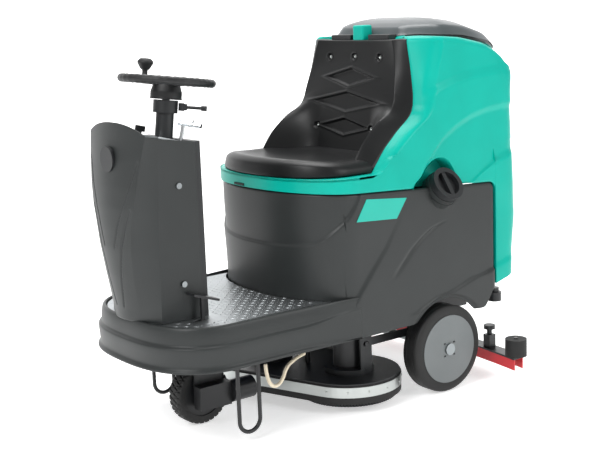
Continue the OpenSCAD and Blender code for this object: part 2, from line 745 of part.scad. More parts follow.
seat_back = [[axle_y - 246, seat_z], [axle_y - 62, seat_z + 174], [axle_y - 80, tank_top - 4]];
module side_profile(pts, w) {
  translate([-w, 0, 0]) rotate([90, 0, 90]) linear_extrude(2 * w) polygon(pts);
}
module recovery_tank() {
  line = [pedestal_y - 5, part_z + 0.5];
  rear_line = line_z(lower_rear_y + 6);
  gap_y = lower_rear_y + 6;
  sump_z = skirt_z + 47;
  recess = [[-128, -40], [-96, 14], [-58, 52], [-8, 63], [30, 58], [62, 30], [86, -45]];
  color(teal) difference() {
    intersection() {
      side_profile([[pedestal_y - 5, line_z(pedestal_y - 5) + 1], [pedestal_y - 5, seat_z], seat_back[0],
        seat_back[1], seat_back[2], [axle_y - 12, tank_top + 4], [axle_y + 170, tank_top - 27],
        [tail_y - 42, tank_top - 63], [tail_y - 20, tank_top - 142], [tail_y - 28, tank_top - 192],
        [tail_y - 19, part_z + 57], [tail_y, part_z - 173], [tail_y - 18, part_z - 295],
        [tail_y - 32, sump_z], [gap_y, sump_z], [gap_y, rear_line + 1]], half_w);
      translate([0, 0, sump_z - 1]) linear_extrude(tank_top + 20 - sump_z) polygon(body_plan(0, tail_y));
    }
    // tray under the seat
    intersection() {
      side_profile([[pedestal_y, part_z - 60], [pedestal_y, seat_z - wall], [seat_back[0][0] - 8, seat_z - wall],
        [seat_back[0][0] - 8, part_z - 60]], half_w - wall);
      translate([0, 0, 0]) linear_extrude(tank_top) polygon(body_plan(wall, tail_y));
    }
    // dirty water space
    difference() {
      intersection() {
        side_profile([[seat_back[0][0] + 4, part_z + 4], [seat_back[0][0] + 8, seat_z - 2],
          [seat_back[1][0] + 8, seat_back[1][1] - 2], [seat_back[2][0] + 8, tank_top - 14],
          [axle_y - 12, tank_top - 4], [axle_y + 168, tank_top - 35], [tail_y - 50, tank_top - 70],
          [tail_y - 28, tank_top - 142], [tail_y - 36, tank_top - 192], [tail_y - 27, part_z + 57],
          [tail_y - 8, part_z - 173], [tail_y - 26, part_z - 290], [tail_y - 40, sump_z + wall],
          [gap_y + wall, sump_z + wall], [gap_y + wall, rear_line + 9]], half_w - wall);
        linear_extrude(tank_top) polygon(body_plan(wall, tail_y));
      }
      // walls of the two side recesses
      both() bar(half_w - 76, half_w, cap_y - 134, cap_y + 92, part_z - 80, part_z + 72);
    }
    // recess round the filler cap, the same on both sides
    both() translate([half_w - 70, 0, 0]) rotate([90, 0, 90]) linear_extrude(90)
      polygon([for (q = recess) [axle_y + q[0], part_z + q[1]]]);
    // mouth under the lid
    bar(-170, 170, axle_y + 6, axle_y + 150, tank_top - 60, tank_top + 30);
    // finger notch at the front
    bar(-90, -20, pedestal_y - 20, pedestal_y + 30, part_z - 20, part_z + 14);
    // hinge bore walls
    both() translate([0, tilt_y, tilt_z]) x_rod(8 + run, 120, 148);
    // drain outlet
    translate([half_w - 90, tail_y - 60, sump_z - 20]) post(16, 0, 60);
  }
  // hinge lugs under the sump
  color(teal) both() difference() {
    union() {
      bar(122, 146, tilt_y - 14, tilt_y + 14, tilt_z, sump_z);
      translate([0, tilt_y, tilt_z]) x_rod(14, 122, 146);
    }
    translate([0, tilt_y, tilt_z]) x_rod(8 + run, 100, 160);
  }
  // lid hinge block
  color(teal) difference() {
    bar(-32, 32, lid_hinge_y - 46, lid_hinge_y + 12, tank_top - 10, lid_hinge_z + 22);
    translate([0, lid_hinge_y, lid_hinge_z]) x_rod(5, -60, 60);
  }
}

module seat() {
  back = axle_y - 246;
  half = seat_w / 2;
  top = seat_z + cushion_t;
  holes = [for (x = [-130, 0, 130]) [x, tank_top - 62], for (x = [-140, 140]) [x, seat_z + 120]];
  color(black) difference() {
    union() {
      intersection() {
        translate([0, 0, seat_z]) linear_extrude(cushion_t) polygon(outline(half, pedestal_y + 2, 170, 2.2,
          back + 40, 4, 8));
        side_profile([[pedestal_y, seat_z], [pedestal_y, top], [back + 40, top], [back + 40, seat_z + 38],
          [back, seat_z]], half);
      }
      side_profile([[back - 120, top - 1], [back - 40, top + 30], [axle_y - 195, seat_z + 201],
        [axle_y - 117, tank_top - 55], [axle_y - 84, tank_top - 4], [axle_y - 81, tank_top - 4],
        [seat_back[1][0] - 1, seat_back[1][1]], [back, seat_z + 1], [back - 20, seat_z + 1]], half - 50);
    }
    // hollow between the side wings
    side_profile([[pedestal_y - 10, top], [back - 40, top], [axle_y - 100, tank_top - 40],
      [axle_y - 100, tank_top + 60], [pedestal_y - 10, tank_top + 60]], half - 105);
    for (q = holes) translate([q[0], axle_y - 300, q[1]]) rotate([-90, 0, 0]) cylinder(r = 8, h = 260);
  }
}

module seat_bolts() {
  color(steel) for (q = [[-130, tank_top - 62, -110], [0, tank_top - 62, -110], [130, tank_top - 62, -110],
      [-140, seat_z + 120, -180], [140, seat_z + 120, -180]])
    translate([q[0], axle_y + q[2], q[1]]) rotate([-90, 0, 0]) cylinder(r = 7.9, h = 8);
}

module vacuum_motor() {
  color("#2c2f31") translate([-150, axle_y + 60, tank_top - 160]) {
    cylinder(r = 62, h = 110);
    translate([0, 0, 110]) cylinder(r = 40, h = 16);
  }
}

lid_pts = [[-40, 7], [-32, 32], [30, 59], [110, 67], [180, 57], [250, 28], [318, -22], [352, -60], [340, -61],
  [170, -25.5], [-10, 6.5]];
lid_inner = [[-33, -60], [-26, 27], [31, 53], [110, 61], [178, 51], [246, 23], [312, -26], [340, -120]];
module tank_lid() {
  color("#5d6365") difference() {
    intersection() {
      side_profile([for (q = lid_pts) [axle_y + q[0], tank_top + q[1]]], 275);
      translate([0, 0, tank_top - 100]) linear_extrude(300)
        polygon(outline(275, axle_y - 42, 60, 3.2, axle_y + 360, 120, 2.6));
    }
    // hollow underside
    intersection() {
      side_profile([for (q = lid_inner) [axle_y + q[0], tank_top + q[1]]], 269);
      translate([0, 0, tank_top - 200]) linear_extrude(300)
        polygon(outline(269, axle_y - 36, 60, 3.2, axle_y + 354, 120, 2.6));
      union() {
        bar(-300, 300, lid_hinge_y + 40, tail_y, tank_top - 200, tank_top + 80);
        both() bar(42, 300, axle_y - 60, lid_hinge_y + 50, tank_top - 200, tank_top + 80);
      }
    }
    bar(-35, 35, axle_y - 60, lid_hinge_y + 34, tank_top - 20, tank_top + 80);
  }
  color("#5d6365") translate([0, lid_hinge_y, lid_hinge_z]) x_rod(4.95, -42, 42);
}

module drain_cap() {
  color(black) translate([half_w - 90, tail_y - 60, 0]) {
    post(24, skirt_z + 14, skirt_z + 46.6);
    post(15.9, skirt_z + 46.6, skirt_z + 62);
  }
}

// ---- hoses ---------------------------------------------------------------------------------------------

hose_path = [[226, drive_y + 106, skirt_z - 8], [228, drive_y + 108, 190], [230, drive_y + 116, 160],
  [230, drive_y + 132, 144], [230, drive_y + 152, 146], [230, drive_y + 168, 162],
  [229, drive_y + 180, 184], [226, drive_y + 196, 198], [222, drive_y + 216, 206],
  [216, drive_y + 240, 212], [210, drive_y + 270, 216]];
module solution_hose() { color("#e8dcc0") tube_along(hose_path, 6, 10); }

suction_path = [[-72, sq_y + 36, sq_z + 31], [-72, sq_y + 36, sq_z + 48], [-73, sq_y + 32, sq_z + 68],
  [-75, sq_y + 22, sq_z + 88], [-77, sq_y + 8, sq_z + 106], [-79, sq_y - 10, sq_z + 122],
  [-80, sq_y - 25, sq_z + 141], [-80, sq_y - 32, sq_z + 164]];
module suction_hose() { color(black) tube_along(suction_path, 18, 12); }

main_frame();
rear_axle();
axle_caps();
lower_body();
footplate();
front_cowl();
cowl_back();
dash_panel();
steering_column();
cowl_screws();
cowl_badge();
side_plates();
batteries();
controller_box();
lift_actuator();
solution_filter();
filler_neck();
guard_hoop(1);  // guard_hoop_left
guard_hoop(-1);  // guard_hoop_right
solution_hose();
suction_hose();
steering_chain();
steering_shaft();
steering_wheel();
spinner_knob();
turn_switch();
sprocket_shaft();
drive_fork();
fork_sprocket();
drive_motor();
drive_hub();
drive_tyre();
rear_hub(1);  // rear_hub_left
rear_hub(-1);  // rear_hub_right
rear_tyre(1);  // rear_tyre_left
rear_tyre(-1);  // rear_tyre_right
accelerator_pedal();
direction_lever();
key_knob();
recovery_tank();
seat();
seat_bolts();
vacuum_motor();
tank_lid();
filler_cap();
drain_cap();
deck_cover();
deck_band();
deck_skirt();
brush_motors();
lift_arms();
brush(0);  // brush_left
brush(1);  // brush_right
squeegee_link();
squeegee_carrier();
squeegee_frame();
squeegee_blades();
roller(1);  // roller_left
roller(-1);  // roller_right
squeegee_knobs();
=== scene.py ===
"""Looks of the ride-on floor scrubber, in metres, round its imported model. Front -Y, driver's left +X."""
import json
import math

import bpy
import numpy as np
from mathutils import Matrix, Vector


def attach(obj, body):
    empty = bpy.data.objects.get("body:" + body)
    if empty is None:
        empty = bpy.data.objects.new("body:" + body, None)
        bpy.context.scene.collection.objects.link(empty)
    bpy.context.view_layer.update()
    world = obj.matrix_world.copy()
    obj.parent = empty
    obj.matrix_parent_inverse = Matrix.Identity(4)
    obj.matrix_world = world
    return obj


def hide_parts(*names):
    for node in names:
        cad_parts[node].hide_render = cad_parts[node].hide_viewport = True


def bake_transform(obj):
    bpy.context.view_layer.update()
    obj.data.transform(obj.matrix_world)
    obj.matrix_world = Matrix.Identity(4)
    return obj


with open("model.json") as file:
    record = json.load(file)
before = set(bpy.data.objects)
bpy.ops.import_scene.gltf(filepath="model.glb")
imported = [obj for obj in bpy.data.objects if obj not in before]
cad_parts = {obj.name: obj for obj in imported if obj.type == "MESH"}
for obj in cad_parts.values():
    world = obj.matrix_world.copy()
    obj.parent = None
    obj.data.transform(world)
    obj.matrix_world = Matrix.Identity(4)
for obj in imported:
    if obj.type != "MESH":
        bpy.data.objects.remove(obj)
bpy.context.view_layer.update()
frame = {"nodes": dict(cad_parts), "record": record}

# ---- Camera -------------------------------------------------------------------------------------
# A long lens at driver height, off the front left corner, a little tipped.

camera = bpy.data.objects.new("camera", bpy.data.cameras.new("camera"))
bpy.context.scene.collection.objects.link(camera)
azimuth, elevation, tip = math.radians(53.08), math.radians(10.55), math.radians(-2.155)
back = Vector((math.sin(azimuth) * math.cos(elevation), -math.cos(azimuth) * math.cos(elevation),
               math.sin(elevation)))
level = Vector((math.cos(azimuth), math.sin(azimuth), 0))
right = level * math.cos(tip) + back.cross(level) * math.sin(tip)
turn = Matrix((right, back.cross(right), back)).transposed().to_4x4()
camera.matrix_world = Matrix.Translation((3.0506, -2.3049, 1.2940)) @ turn
camera.data.sensor_width = 36
camera.data.lens = 69.4
camera.data.clip_end = 60
bpy.context.scene.camera = camera

# ---- Hoses --------------------------------------------------------------------------------------
# A clear solution hose hangs in a loop between the platform and the brush deck, and a short black
# ribbed suction hose runs from the squeegee's port up into the frame. Both are extruded plastic.

def linear(colour):
    """sRGB hex to linear RGBA: each channel c becomes ((c + 0.055) / 1.055) ** 2.4 above 0.04045."""
    c = np.array([int(colour[i:i + 2], 16) for i in (1, 3, 5)]) / 255
    return (*np.where(c > 0.04045, ((c + 0.055) / 1.055) ** 2.4, c / 12.92), 1)


def add(material, kind, inputs=None, **settings):
    """Adds one node to a material with its settings; an input that is a socket is linked to it."""
    tree = material.node_tree
    node = tree.nodes.new(kind)
    for key, value in settings.items():
        setattr(node, key, value)
    for key, value in (inputs or {}).items():
        if isinstance(value, bpy.types.NodeSocket):
            tree.links.new(value, node.inputs[key])
        else:
            node.inputs[key].default_value = value
    return node


def finish(name, colour, rough, grain, depth, metal=0, mottle=0.06, stretch=(1, 1, 1), ior=1.5, **more):
    """A surface with grains `grain` mm across and `depth` mm deep, and slow patches that change its
    brightness by the share `mottle`. stretch draws the grain out along an axis, as brushing does."""
    m = bpy.data.materials.new(name)
    m.use_nodes = True
    shader = m.node_tree.nodes["Principled BSDF"]
    place = add(m, "ShaderNodeTexCoord")
    scaled = add(m, "ShaderNodeMapping", {0: place.outputs["Object"], "Scale": stretch})
    fine = add(m, "ShaderNodeTexNoise", {0: scaled.outputs[0], "Scale": 1000 / grain, "Detail": 2})
    slow = add(m, "ShaderNodeTexNoise", {0: place.outputs["Object"], "Scale": 9, "Detail": 3})
    tint = np.array(linear(colour))
    ramp = add(m, "ShaderNodeValToRGB", {0: slow.outputs[0]})
    for stop, share in zip(ramp.color_ramp.elements, (1 - mottle, 1 + mottle)):
        stop.position = 0.3 if share < 1 else 0.7
        stop.color = (*np.clip(tint[:3] * share, 0, 1), 1)
    bump = add(m, "ShaderNodeBump", {"Height": fine.outputs[0], "Distance": depth / 1000, "Strength": 1})
    m.node_tree.links.new(ramp.outputs[0], shader.inputs["Base Color"])
    m.node_tree.links.new(bump.outputs[0], shader.inputs["Normal"])
    for key, value in {"Roughness": rough, "Metallic": metal, "IOR": ior, **more}.items():
        shader.inputs[key].default_value = value
    return m


def link(name, mesh, material, body, replaced=()):
    """Puts a mesh in the scene as one piece that rides on a body."""
    piece = bpy.data.objects.new(name, mesh)
    bpy.context.scene.collection.objects.link(piece)
    mesh.materials.append(material)
    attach(piece, body)
    if replaced:
        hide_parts(*([replaced] if isinstance(replaced, str) else replaced))
    return piece


def surface(name, grids, inside=(0, 0, 0), crease=35):
    """One mesh from grids of points, each rows by columns by 3. A grid is (points, wrap) where wrap joins
    its last column to its first. Each grid is turned so that its faces look away from `inside`, a point, or
    "ring" for the middle of each row."""
    points, faces, start = [], [], 0
    for grid in grids:
        grid, wrap = grid if isinstance(grid, tuple) else (grid, False)
        rows, cols = grid.shape[:2]
        index = start + np.arange(rows * cols).reshape(rows, cols)
        if wrap:
            index = np.concatenate([index, index[:, :1]], 1)
        quads = np.stack([index[:-1, :-1], index[:-1, 1:], index[1:, 1:], index[1:, :-1]], -1).reshape(-1, 4)
        flat = grid.reshape(-1, 3)
        corner = flat[quads - start]
        normal = np.cross(corner[:, 2] - corner[:, 0], corner[:, 3] - corner[:, 1])
        row_middle = grid.mean(1)[(quads[:, 0] - start) // cols]
        away = corner.mean(1) - (row_middle if inside == "ring" else np.array(inside))
        if (normal * away).sum() < 0:
            quads = quads[:, ::-1]
        points.append(flat)
        faces.append(quads)
        start += rows * cols
    points, faces = np.concatenate(points), np.concatenate(faces)
    mesh = bpy.data.meshes.new(name)
    mesh.from_pydata(points.tolist(), [], faces.tolist())
    mesh.polygons.foreach_set("use_smooth", np.ones(len(mesh.polygons), bool))
    mesh.validate()
    if crease:
        mesh.set_sharp_from_angle(angle=math.radians(crease))
    mesh.update()
    return mesh


def curve(points, n, closed=False):
    """n points on a Catmull-Rom curve through the given ones: between two points the path is the cubic
    whose end slopes are half the step between their neighbours."""
    p = np.array(points, float)
    p = np.concatenate([p[-1:], p, p[:2]]) if closed else np.concatenate([p[:1] * 2 - p[1:2], p,
                                                                          p[-1:] * 2 - p[-2:-1]])
    spans = len(p) - 3
    t = np.linspace(0, spans, n, endpoint=not closed)
    i = np.minimum(t.astype(int), spans - 1)
    f = (t - i)[:, None]
    a, b, c, d = p[i], p[i + 1], p[i + 2], p[i + 3]
    return 0.5 * (2 * b + (c - a) * f + (2 * a - 5 * b + 4 * c - d) * f ** 2 + (3 * b - a - 3 * c + d)
                  * f ** 3)


def tube(path, radius, sides=16, closed=False):
    """Grid round a path: at each point a circle of the radius there, square to the path, carried on from
    one point to the next without twisting."""
    path = np.array(path, float)
    step = np.gradient(path, axis=0) if not closed else np.roll(path, -1, 0) - np.roll(path, 1, 0)
    step /= np.linalg.norm(step, axis=1)[:, None]
    side = np.cross(step[0], (0, 0, 1.0) if abs(step[0][2]) < 0.9 else (1.0, 0, 0))
    frames = []
    for s in step:
        side = side - s * (side @ s)
        side /= np.linalg.norm(side)
        frames.append((side, np.cross(s, side)))
    a, b = np.array([f[0] for f in frames]), np.array([f[1] for f in frames])
    turn = np.linspace(0, 2 * math.pi, sides, endpoint=False)
    radius = np.broadcast_to(np.asarray(radius, float), (len(path),))[:, None, None]
    ring = a[:, None] * np.cos(turn)[:, None] + b[:, None] * np.sin(turn)[:, None]
    return path[:, None] + radius * ring, True


def rod(path, radius, sides=16):
    """A tube with both ends closed by rings that shrink to a point."""
    grid, wrap = tube(path, radius, sides)
    first, last = grid[0].mean(0), grid[-1].mean(0)
    shrink = [1, 0.5, 0.02]
    caps = [first + (grid[0] - first) * s for s in shrink[::-1]], [last + (grid[-1] - last)
                                                                   * s for s in shrink]
    return np.concatenate([caps[0], grid, caps[1]]), wrap


def route_length(path):
    """Sum of the steps along a route."""
    return float(np.linalg.norm(np.diff(np.array(path), axis=0), axis=1).sum())


solution_route = curve([[0.226, -0.337, 0.220], [0.228, -0.335, 0.190], [0.230, -0.327, 0.160],
                        [0.230, -0.311, 0.144], [0.230, -0.291, 0.146], [0.230, -0.275, 0.162],
                        [0.229, -0.263, 0.184], [0.226, -0.247, 0.198], [0.222, -0.227, 0.206],
                        [0.216, -0.203, 0.212], [0.210, -0.173, 0.216]], 80)
clear_hose = finish("extruded_pvc_milky", "#e9dcc2", 0.28, 3, 0.02, mottle=0.1)
solution_hose = link("solution_hose_loop", surface("solution_hose_loop", [rod(solution_route, 0.006)],
                                                   (0.2, -0.27, 0.2)),
                     clear_hose, "chassis", "solution_hose")
suction_route = curve([[-0.072, 0.616, 0.123], [-0.072, 0.616, 0.140], [-0.073, 0.612, 0.160],
                       [-0.075, 0.602, 0.180], [-0.077, 0.588, 0.198], [-0.079, 0.570, 0.214],
                       [-0.080, 0.555, 0.233], [-0.080, 0.548, 0.256]], 160)
ribbed_pvc = finish("extruded_pvc_black", "#1b1c1e", 0.42, 2, 0.03)
joint = 78  # the boot joins the squeegee's elbow where the lift link ends


def ribs(path):
    """Hose radius along a path: 18 mm at the crests of ribs 6 mm apart."""
    return 0.0172 + 0.0008 * np.cos(np.linspace(0, route_length(path) / 0.006, len(path)) * 2 * math.pi)


lower, upper = suction_route[:joint + 4], suction_route[joint:]
link("suction_elbow", surface("suction_elbow", [rod(lower, ribs(lower), 32)], (-0.07, 0.6, 0.15)),
     ribbed_pvc, "squeegee", "suction_hose")
boot = bpy.data.objects.new("suction_boot", surface("suction_boot", [rod(upper, ribs(upper) + 0.003, 32)],
                                                    (-0.08, 0.57, 0.22)))
bpy.context.scene.collection.objects.link(boot)
boot.data.materials.append(ribbed_pvc)
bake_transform(boot)
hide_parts("suction_hose")

# ---- Lower body ---------------------------------------------------------------------------------
# The solution tank, pedestal and platform skirt are one rotomoulded polyethylene shell in charcoal.
# Sides are 6 mm thick, with a rolled flange below the platform and an arch over each rear wheel.

def ramp(x, a, b):
    """Smooth step: 0 below a, 1 above b, and 3t^2 - 2t^3 of the share t between."""
    t = np.clip((np.asarray(x, float) - a) / (b - a), 0, 1)
    return t * t * (3 - 2 * t)


def through(x, points):
    """Value at x on straight lines through (x, value) points, rounded where they meet by averaging
    the value over a short window."""
    xs, ys = np.array(points, float).T
    window = 0.012
    return sum(np.interp(np.asarray(x, float) + w * window, xs, ys) for w in (-1, -0.5, 0, 0.5, 1)) / 5


def rounded_end(width, start, depth, power, n):
    """Half of a rounded end seen from above, from the middle to the side: x = w sin(s)^(2/p) and
    y = start + d (1 - cos(s)^(2/p))."""
    s = np.linspace(0, math.pi / 2, n)
    return np.stack([width * np.sin(s) ** (2 / power), start + depth
                     * (1 - np.abs(np.cos(s)) ** (2 / power))], 1)


def evenly(path, n):
    """The same path with n points at equal steps."""
    d = np.concatenate([[0], np.cumsum(np.linalg.norm(np.diff(path, axis=0), axis=1))])
    t = np.linspace(0, d[-1], n)
    return np.stack([np.interp(t, d, path[:, i]) for i in range(path.shape[1])], 1)


def both_ways(half):
    """A half plan from the middle to the side, joined to its mirror: left side, middle, right side."""
    return np.concatenate([half[:0:-1] * (-1, 1), half])


half_width = 0.330
pedestal_front, tank_rear = -0.213, 0.577
rear_corner, rear_arc_points = 0.014, 12
axle_y, axle_z, arch_radius = 0.342, 0.150, 0.174


def line_height(y):
    """Height of the line between the two tanks: it falls 42 mm from the pedestal's front to the rear."""
    return 0.734 - 0.042 * (y - pedestal_front) / (tank_rear - pedestal_front)


def lower_edge(y):
    """Lower edge of the side: level, up by an S-curve, level, the wheel arch, then up to the rear."""
    base = 0.228 + 0.034 * ramp(y, -0.170, -0.090)
    arch = axle_z + np.sqrt(np.clip(arch_radius ** 2 - (y - axle_y) ** 2, 0, None))
    edge = np.where(np.abs(y - axle_y) < arch_radius, np.maximum(base, arch), base)
    return np.maximum(edge, 0.262 + 0.068 * ramp(y, 0.515, 0.580))


def side_relief(y, z):
    """How far the side stands in from its widest, in metres: the pedestal steps in over its step line and
    in front of the long sweep, and the wheel's fender stands out by 5 mm."""
    step_line = through(y, [(-0.3, 0.560), (-0.217, 0.557), (-0.150, 0.572), (-0.108, 0.613),
                            (-0.073, 0.644),
                            (-0.038, 0.687), (0.010, 0.780), (0.020, 1.2)])
    inset = 0.007 * ramp(z - step_line, -0.004, 0.006)
    sweep = through(z, [(0.20, -0.070), (0.361, -0.064), (0.431, -0.006), (0.531, 0.081), (0.600, 0.126),
                        (0.680, 0.185), (0.76, 0.24)])
    fade = 1 - ramp(z, 0.42, 0.68)
    inset += 0.008 * fade * ramp(sweep - y, -0.004, 0.008) * ramp(z, 0.335, 0.36)
    second = through(z, [(0.40, 0.085), (0.456, 0.136), (0.518, 0.196), (0.564, 0.264), (0.588, 0.325),
                         (0.60, 0.40)])
    groove = np.exp(-((y - second) / 0.010) ** 2) * ramp(z, 0.42, 0.47) * (1 - ramp(z, 0.570, 0.595))
    inset += 0.004 * groove
    fender = through(y, [(0.20, 0.300), (0.30, 0.338), (0.374, 0.346), (0.462, 0.373), (0.577, 0.392)])
    inset -= 0.005 * ramp(fender - z, -0.002, 0.006) * ramp(y, 0.16, 0.24)
    reach = np.hypot(y - axle_y, z - axle_z)
    inset += 0.007 * (1 - ramp(reach, arch_radius + 0.004,
                               arch_radius + 0.016)) * (np.abs(y - axle_y) < arch_radius)
    return inset


def push_out(plan, amount):
    """Moves plan points out along their normals; the plan runs from the left side round to the right."""
    step = np.gradient(plan, axis=0)
    normal = np.stack([step[:, 1], -step[:, 0]], 1)
    normal /= np.linalg.norm(normal, axis=1)[:, None]
    return plan[:, None] + normal[:, None] * np.asarray(amount)[:, :, None]


def body_plan(n):
    """The pedestal's plan: a rounded front, straight sides and a flat rear with quarter-circle corners."""
    front = rounded_end(half_width, pedestal_front, 0.190, 2.2, 80)
    turn = np.linspace(0, math.pi / 2, rear_arc_points)
    corner = np.stack([half_width - rear_corner + rear_corner * np.cos(turn),
                       tank_rear - rear_corner + rear_corner * np.sin(turn)], 1)
    return evenly(both_ways(np.concatenate([front, corner, [(0, tank_rear)]])), n)


plan = body_plan(420)
share = np.linspace(0, 1, 110)[None]
low = np.where(plan[:, 1] > -0.075, lower_edge(plan[:, 1]), 0.386)
corner_drop = 0.030 - np.sqrt(0.030 ** 2 - np.clip(plan[:, 1] - 0.547, 0, 0.0299) ** 2)
high = line_height(plan[:, 1]) - 0.0012 - corner_drop
height = low[:, None] + (high - low)[:, None] * share
edge_roll = 0.004 * (1 - ramp((high[:, None] - height), 0, 0.006))
relief = side_relief(plan[:, 1:2], height) + edge_roll
spread = push_out(plan, -relief)
shell = np.concatenate([spread, height[:, :, None]], 2).transpose(1, 0, 2)
top_ring = shell[-1]
inner_rim = [top_ring, np.concatenate([push_out(plan, np.full((len(plan), 1), -0.020))[:, 0],
                                       high[:, None] - 0.001], 1)]
# the skirt: a superellipse nose and straight sides that meet the body's side
nose = rounded_end(0.318, -0.708, 0.240, 2.6, 90)
side_y = np.linspace(-0.468, -0.030, 70)[1:]
skirt_side = 0.318 + 0.0122 * ramp(side_y, -0.36, -0.05)
skirt_plan = both_ways(np.concatenate([nose, np.stack([skirt_side, side_y], 1)]))
skirt_plan = evenly(skirt_plan, 360)
profile = np.array([(0.000, -0.004), (0.000, 0.006), (0.004, 0.0075), (0.009, 0.0065), (0.014, 0.003),
                    (0.020, 0.0005),
                    (0.030, 0.000), (0.050, 0.0008), (0.072, 0.002), (0.088, 0.002), (0.094, 0.000),
                    (0.099, -0.005),
                    (0.104, -0.0075), (0.112, -0.008), (0.130, -0.009), (0.148, -0.011), (0.160, -0.0135),
                    (0.166, -0.0165), (0.1685, -0.020), (0.168, -0.024), (0.163, -0.026)])
profile = curve(profile, 90)
tail = ramp(skirt_plan[:, 1], -0.26, -0.035)[:, None]
foot = lower_edge(skirt_plan[:, 1])[:, None]
up = foot + profile[:, 0] * (0.396 - foot) / 0.168 + 0.022 * tail * np.exp(-((profile[:,
                                                                                      0]
                                                                                      - 0.098) / 0.03) ** 2)
out = profile[:, 1] * (1 - 0.72 * tail) * np.where(profile[:, 0] < 0.09, 1 - tail, 1)
skirt = np.concatenate([push_out(skirt_plan, out), up[:, :, None]], 2).transpose(1, 0, 2)
charcoal = finish("rotomoulded_polyethylene_charcoal", "#2a2d2d", 0.42, 1.6, 0.030, mottle=0.05,
                  **{"Specular IOR Level": 0.38})
body_shell = link("lower_body_shell", surface("lower_body_shell", [shell, np.array(inner_rim)],
                                              (0, 0.15, 0.5)),
                  charcoal, "chassis", "lower_body")
skirt_shell = link("platform_skirt", surface("platform_skirt", [skirt], (0, -0.2, 0.3)), charcoal, "chassis",
                   ())
for piece in (body_shell, skirt_shell):
    wall = piece.modifiers.new("wall", "SOLIDIFY")
    wall.thickness = 0.005
    wall.offset = -1

# ---- Recovery tank ------------------------------------------------------------------------------
# The upper tank is one rotomoulded polyethylene shell in teal, about 6 mm thick. It wraps the seat,
# runs down behind the grey body to the rear hinge, and has a round recess over the filler neck.

band_top, foot_start = 0.776, 0.5832


def seat_line(z):
    """Where the tank's front edge meets the seat, as a distance along the machine at each height."""
    return through(z, [(0.770, 0.051), (0.847, 0.115), (0.901, 0.178), (0.940, 0.236), (0.965, 0.252),
                       (1.013, 0.259), (1.094, 0.264), (1.150, 0.266), (1.186, 0.268)])


def seat_half(z):
    """Half width of the seat at that edge."""
    return through(z, [(0.770, 0.291), (0.847, 0.288), (0.901, 0.284), (0.948, 0.279), (1.013, 0.272),
                       (1.094, 0.256), (1.150, 0.243), (1.186, 0.236)])


def rear_line(z):
    """The tank's rear face at each height."""
    return through(z, [(0.275, 0.696), (0.439, 0.710), (0.561, 0.728), (0.791, 0.709), (0.998, 0.700),
                       (1.048, 0.704), (1.127, 0.690)])


def recess_edge(y):
    """Upper edge of the round recess in the side, from the tank's lower line at both ends."""
    return through(y, [(0.10, 0.60), (0.196, 0.700), (0.203, 0.722), (0.246, 0.748), (0.284, 0.785),
                       (0.310, 0.796),
                       (0.336, 0.798), (0.362, 0.789), (0.382, 0.771), (0.408, 0.722), (0.414, 0.700),
                       (0.50, 0.60)])


def tank_relief(y, z):
    """How far the tank's side stands in: the face over the upper sweep and the one below the lower sweep
    are 10 mm in, a facet low at the rear comes out again, and the foot flares by 5 mm."""
    upper_high = through(y, [(0.15, 0.900), (0.208, 0.977), (0.252, 1.021), (0.312, 1.049), (0.402, 1.078),
                             (0.495, 1.089), (0.72, 1.091)])
    upper_low = through(y, [(0.15, 0.870), (0.214, 0.945), (0.281, 0.985), (0.356, 1.014), (0.471, 1.039),
                            (0.590, 1.053), (0.72, 1.060)])
    lower_high = through(y, [(0.20, 0.720), (0.269, 0.799), (0.307, 0.839), (0.353, 0.878), (0.415, 0.911),
                             (0.477, 0.936), (0.557, 0.955), (0.72, 0.968)])
    lower_low = through(y, [(0.20, 0.690), (0.291, 0.797), (0.337, 0.847), (0.399, 0.885), (0.469, 0.912),
                            (0.549, 0.927), (0.72, 0.938)])
    facet = through(y, [(0.44, 0.690), (0.474, 0.710), (0.523, 0.738), (0.588, 0.771), (0.72, 0.805)])
    inset = 0.010 * ramp(z - (upper_high + upper_low) / 2, -0.018, 0.018)
    under = 0.010 * (1 - ramp(z - (lower_high + lower_low) / 2, -0.014, 0.014)) * ramp(y, 0.22, 0.27)
    under = under * ramp(z - facet, -0.012, 0.001)
    flare = 0.005 * ramp(z - 0.26 * (y - 0.584), 0.385, 0.405)
    return inset + under + np.where((y > 0.583) & (z < 0.69), flare * ramp(0.69 - z, 0, 0.1), 0)


def split_height(y):
    """Height where the tank's lower and upper grids meet; it rises behind the seat's front corner."""
    return band_top + 0.054 * ramp(y, 0.055, 0.130)


teal = finish("rotomoulded_polyethylene_teal", "#00aa99", 0.34, 1.8, 0.03, mottle=0.04,
              **{"Specular IOR Level": 0.2})
front = evenly(rounded_end(half_width, pedestal_front, 0.190, 2.2, 80), 90)
side_steps = np.concatenate([np.arange(front[-1, 1], 0.5826, 0.0045)[1:], [0.5826, foot_start],
                             np.arange(0.587, 0.612, 0.0045)])
rear = rounded_end(half_width, 0, 0.088, 4.4, 34) * (1, -1) + (0, 0.700)
half = np.concatenate([front, np.stack([np.full(len(side_steps), half_width), side_steps], 1), rear[::-1]])
lower_plan = both_ways(half)[:-1]
ys = lower_plan[:, 1]
side_drop = 0.030 - np.sqrt(0.030 ** 2 - np.clip(ys - 0.553, 0, 0.0299) ** 2)
low = np.maximum(line_height(ys) + 0.0013 - side_drop, np.where(np.abs(lower_plan[:, 0]) > 0.325,
                                                                recess_edge(ys), 0))
low = np.where(ys > 0.583, 0.335 + 0.26 * (ys - 0.584), low)
share = np.linspace(0, 1, 60)[:, None]
height = low + (split_height(ys) - low) * share
moved = np.where(ys > 0.612, 0.612 + (ys - 0.612) * (rear_line(height) - 0.612) / 0.088, ys)
side_only = np.abs(lower_plan[:, 0]) / half_width
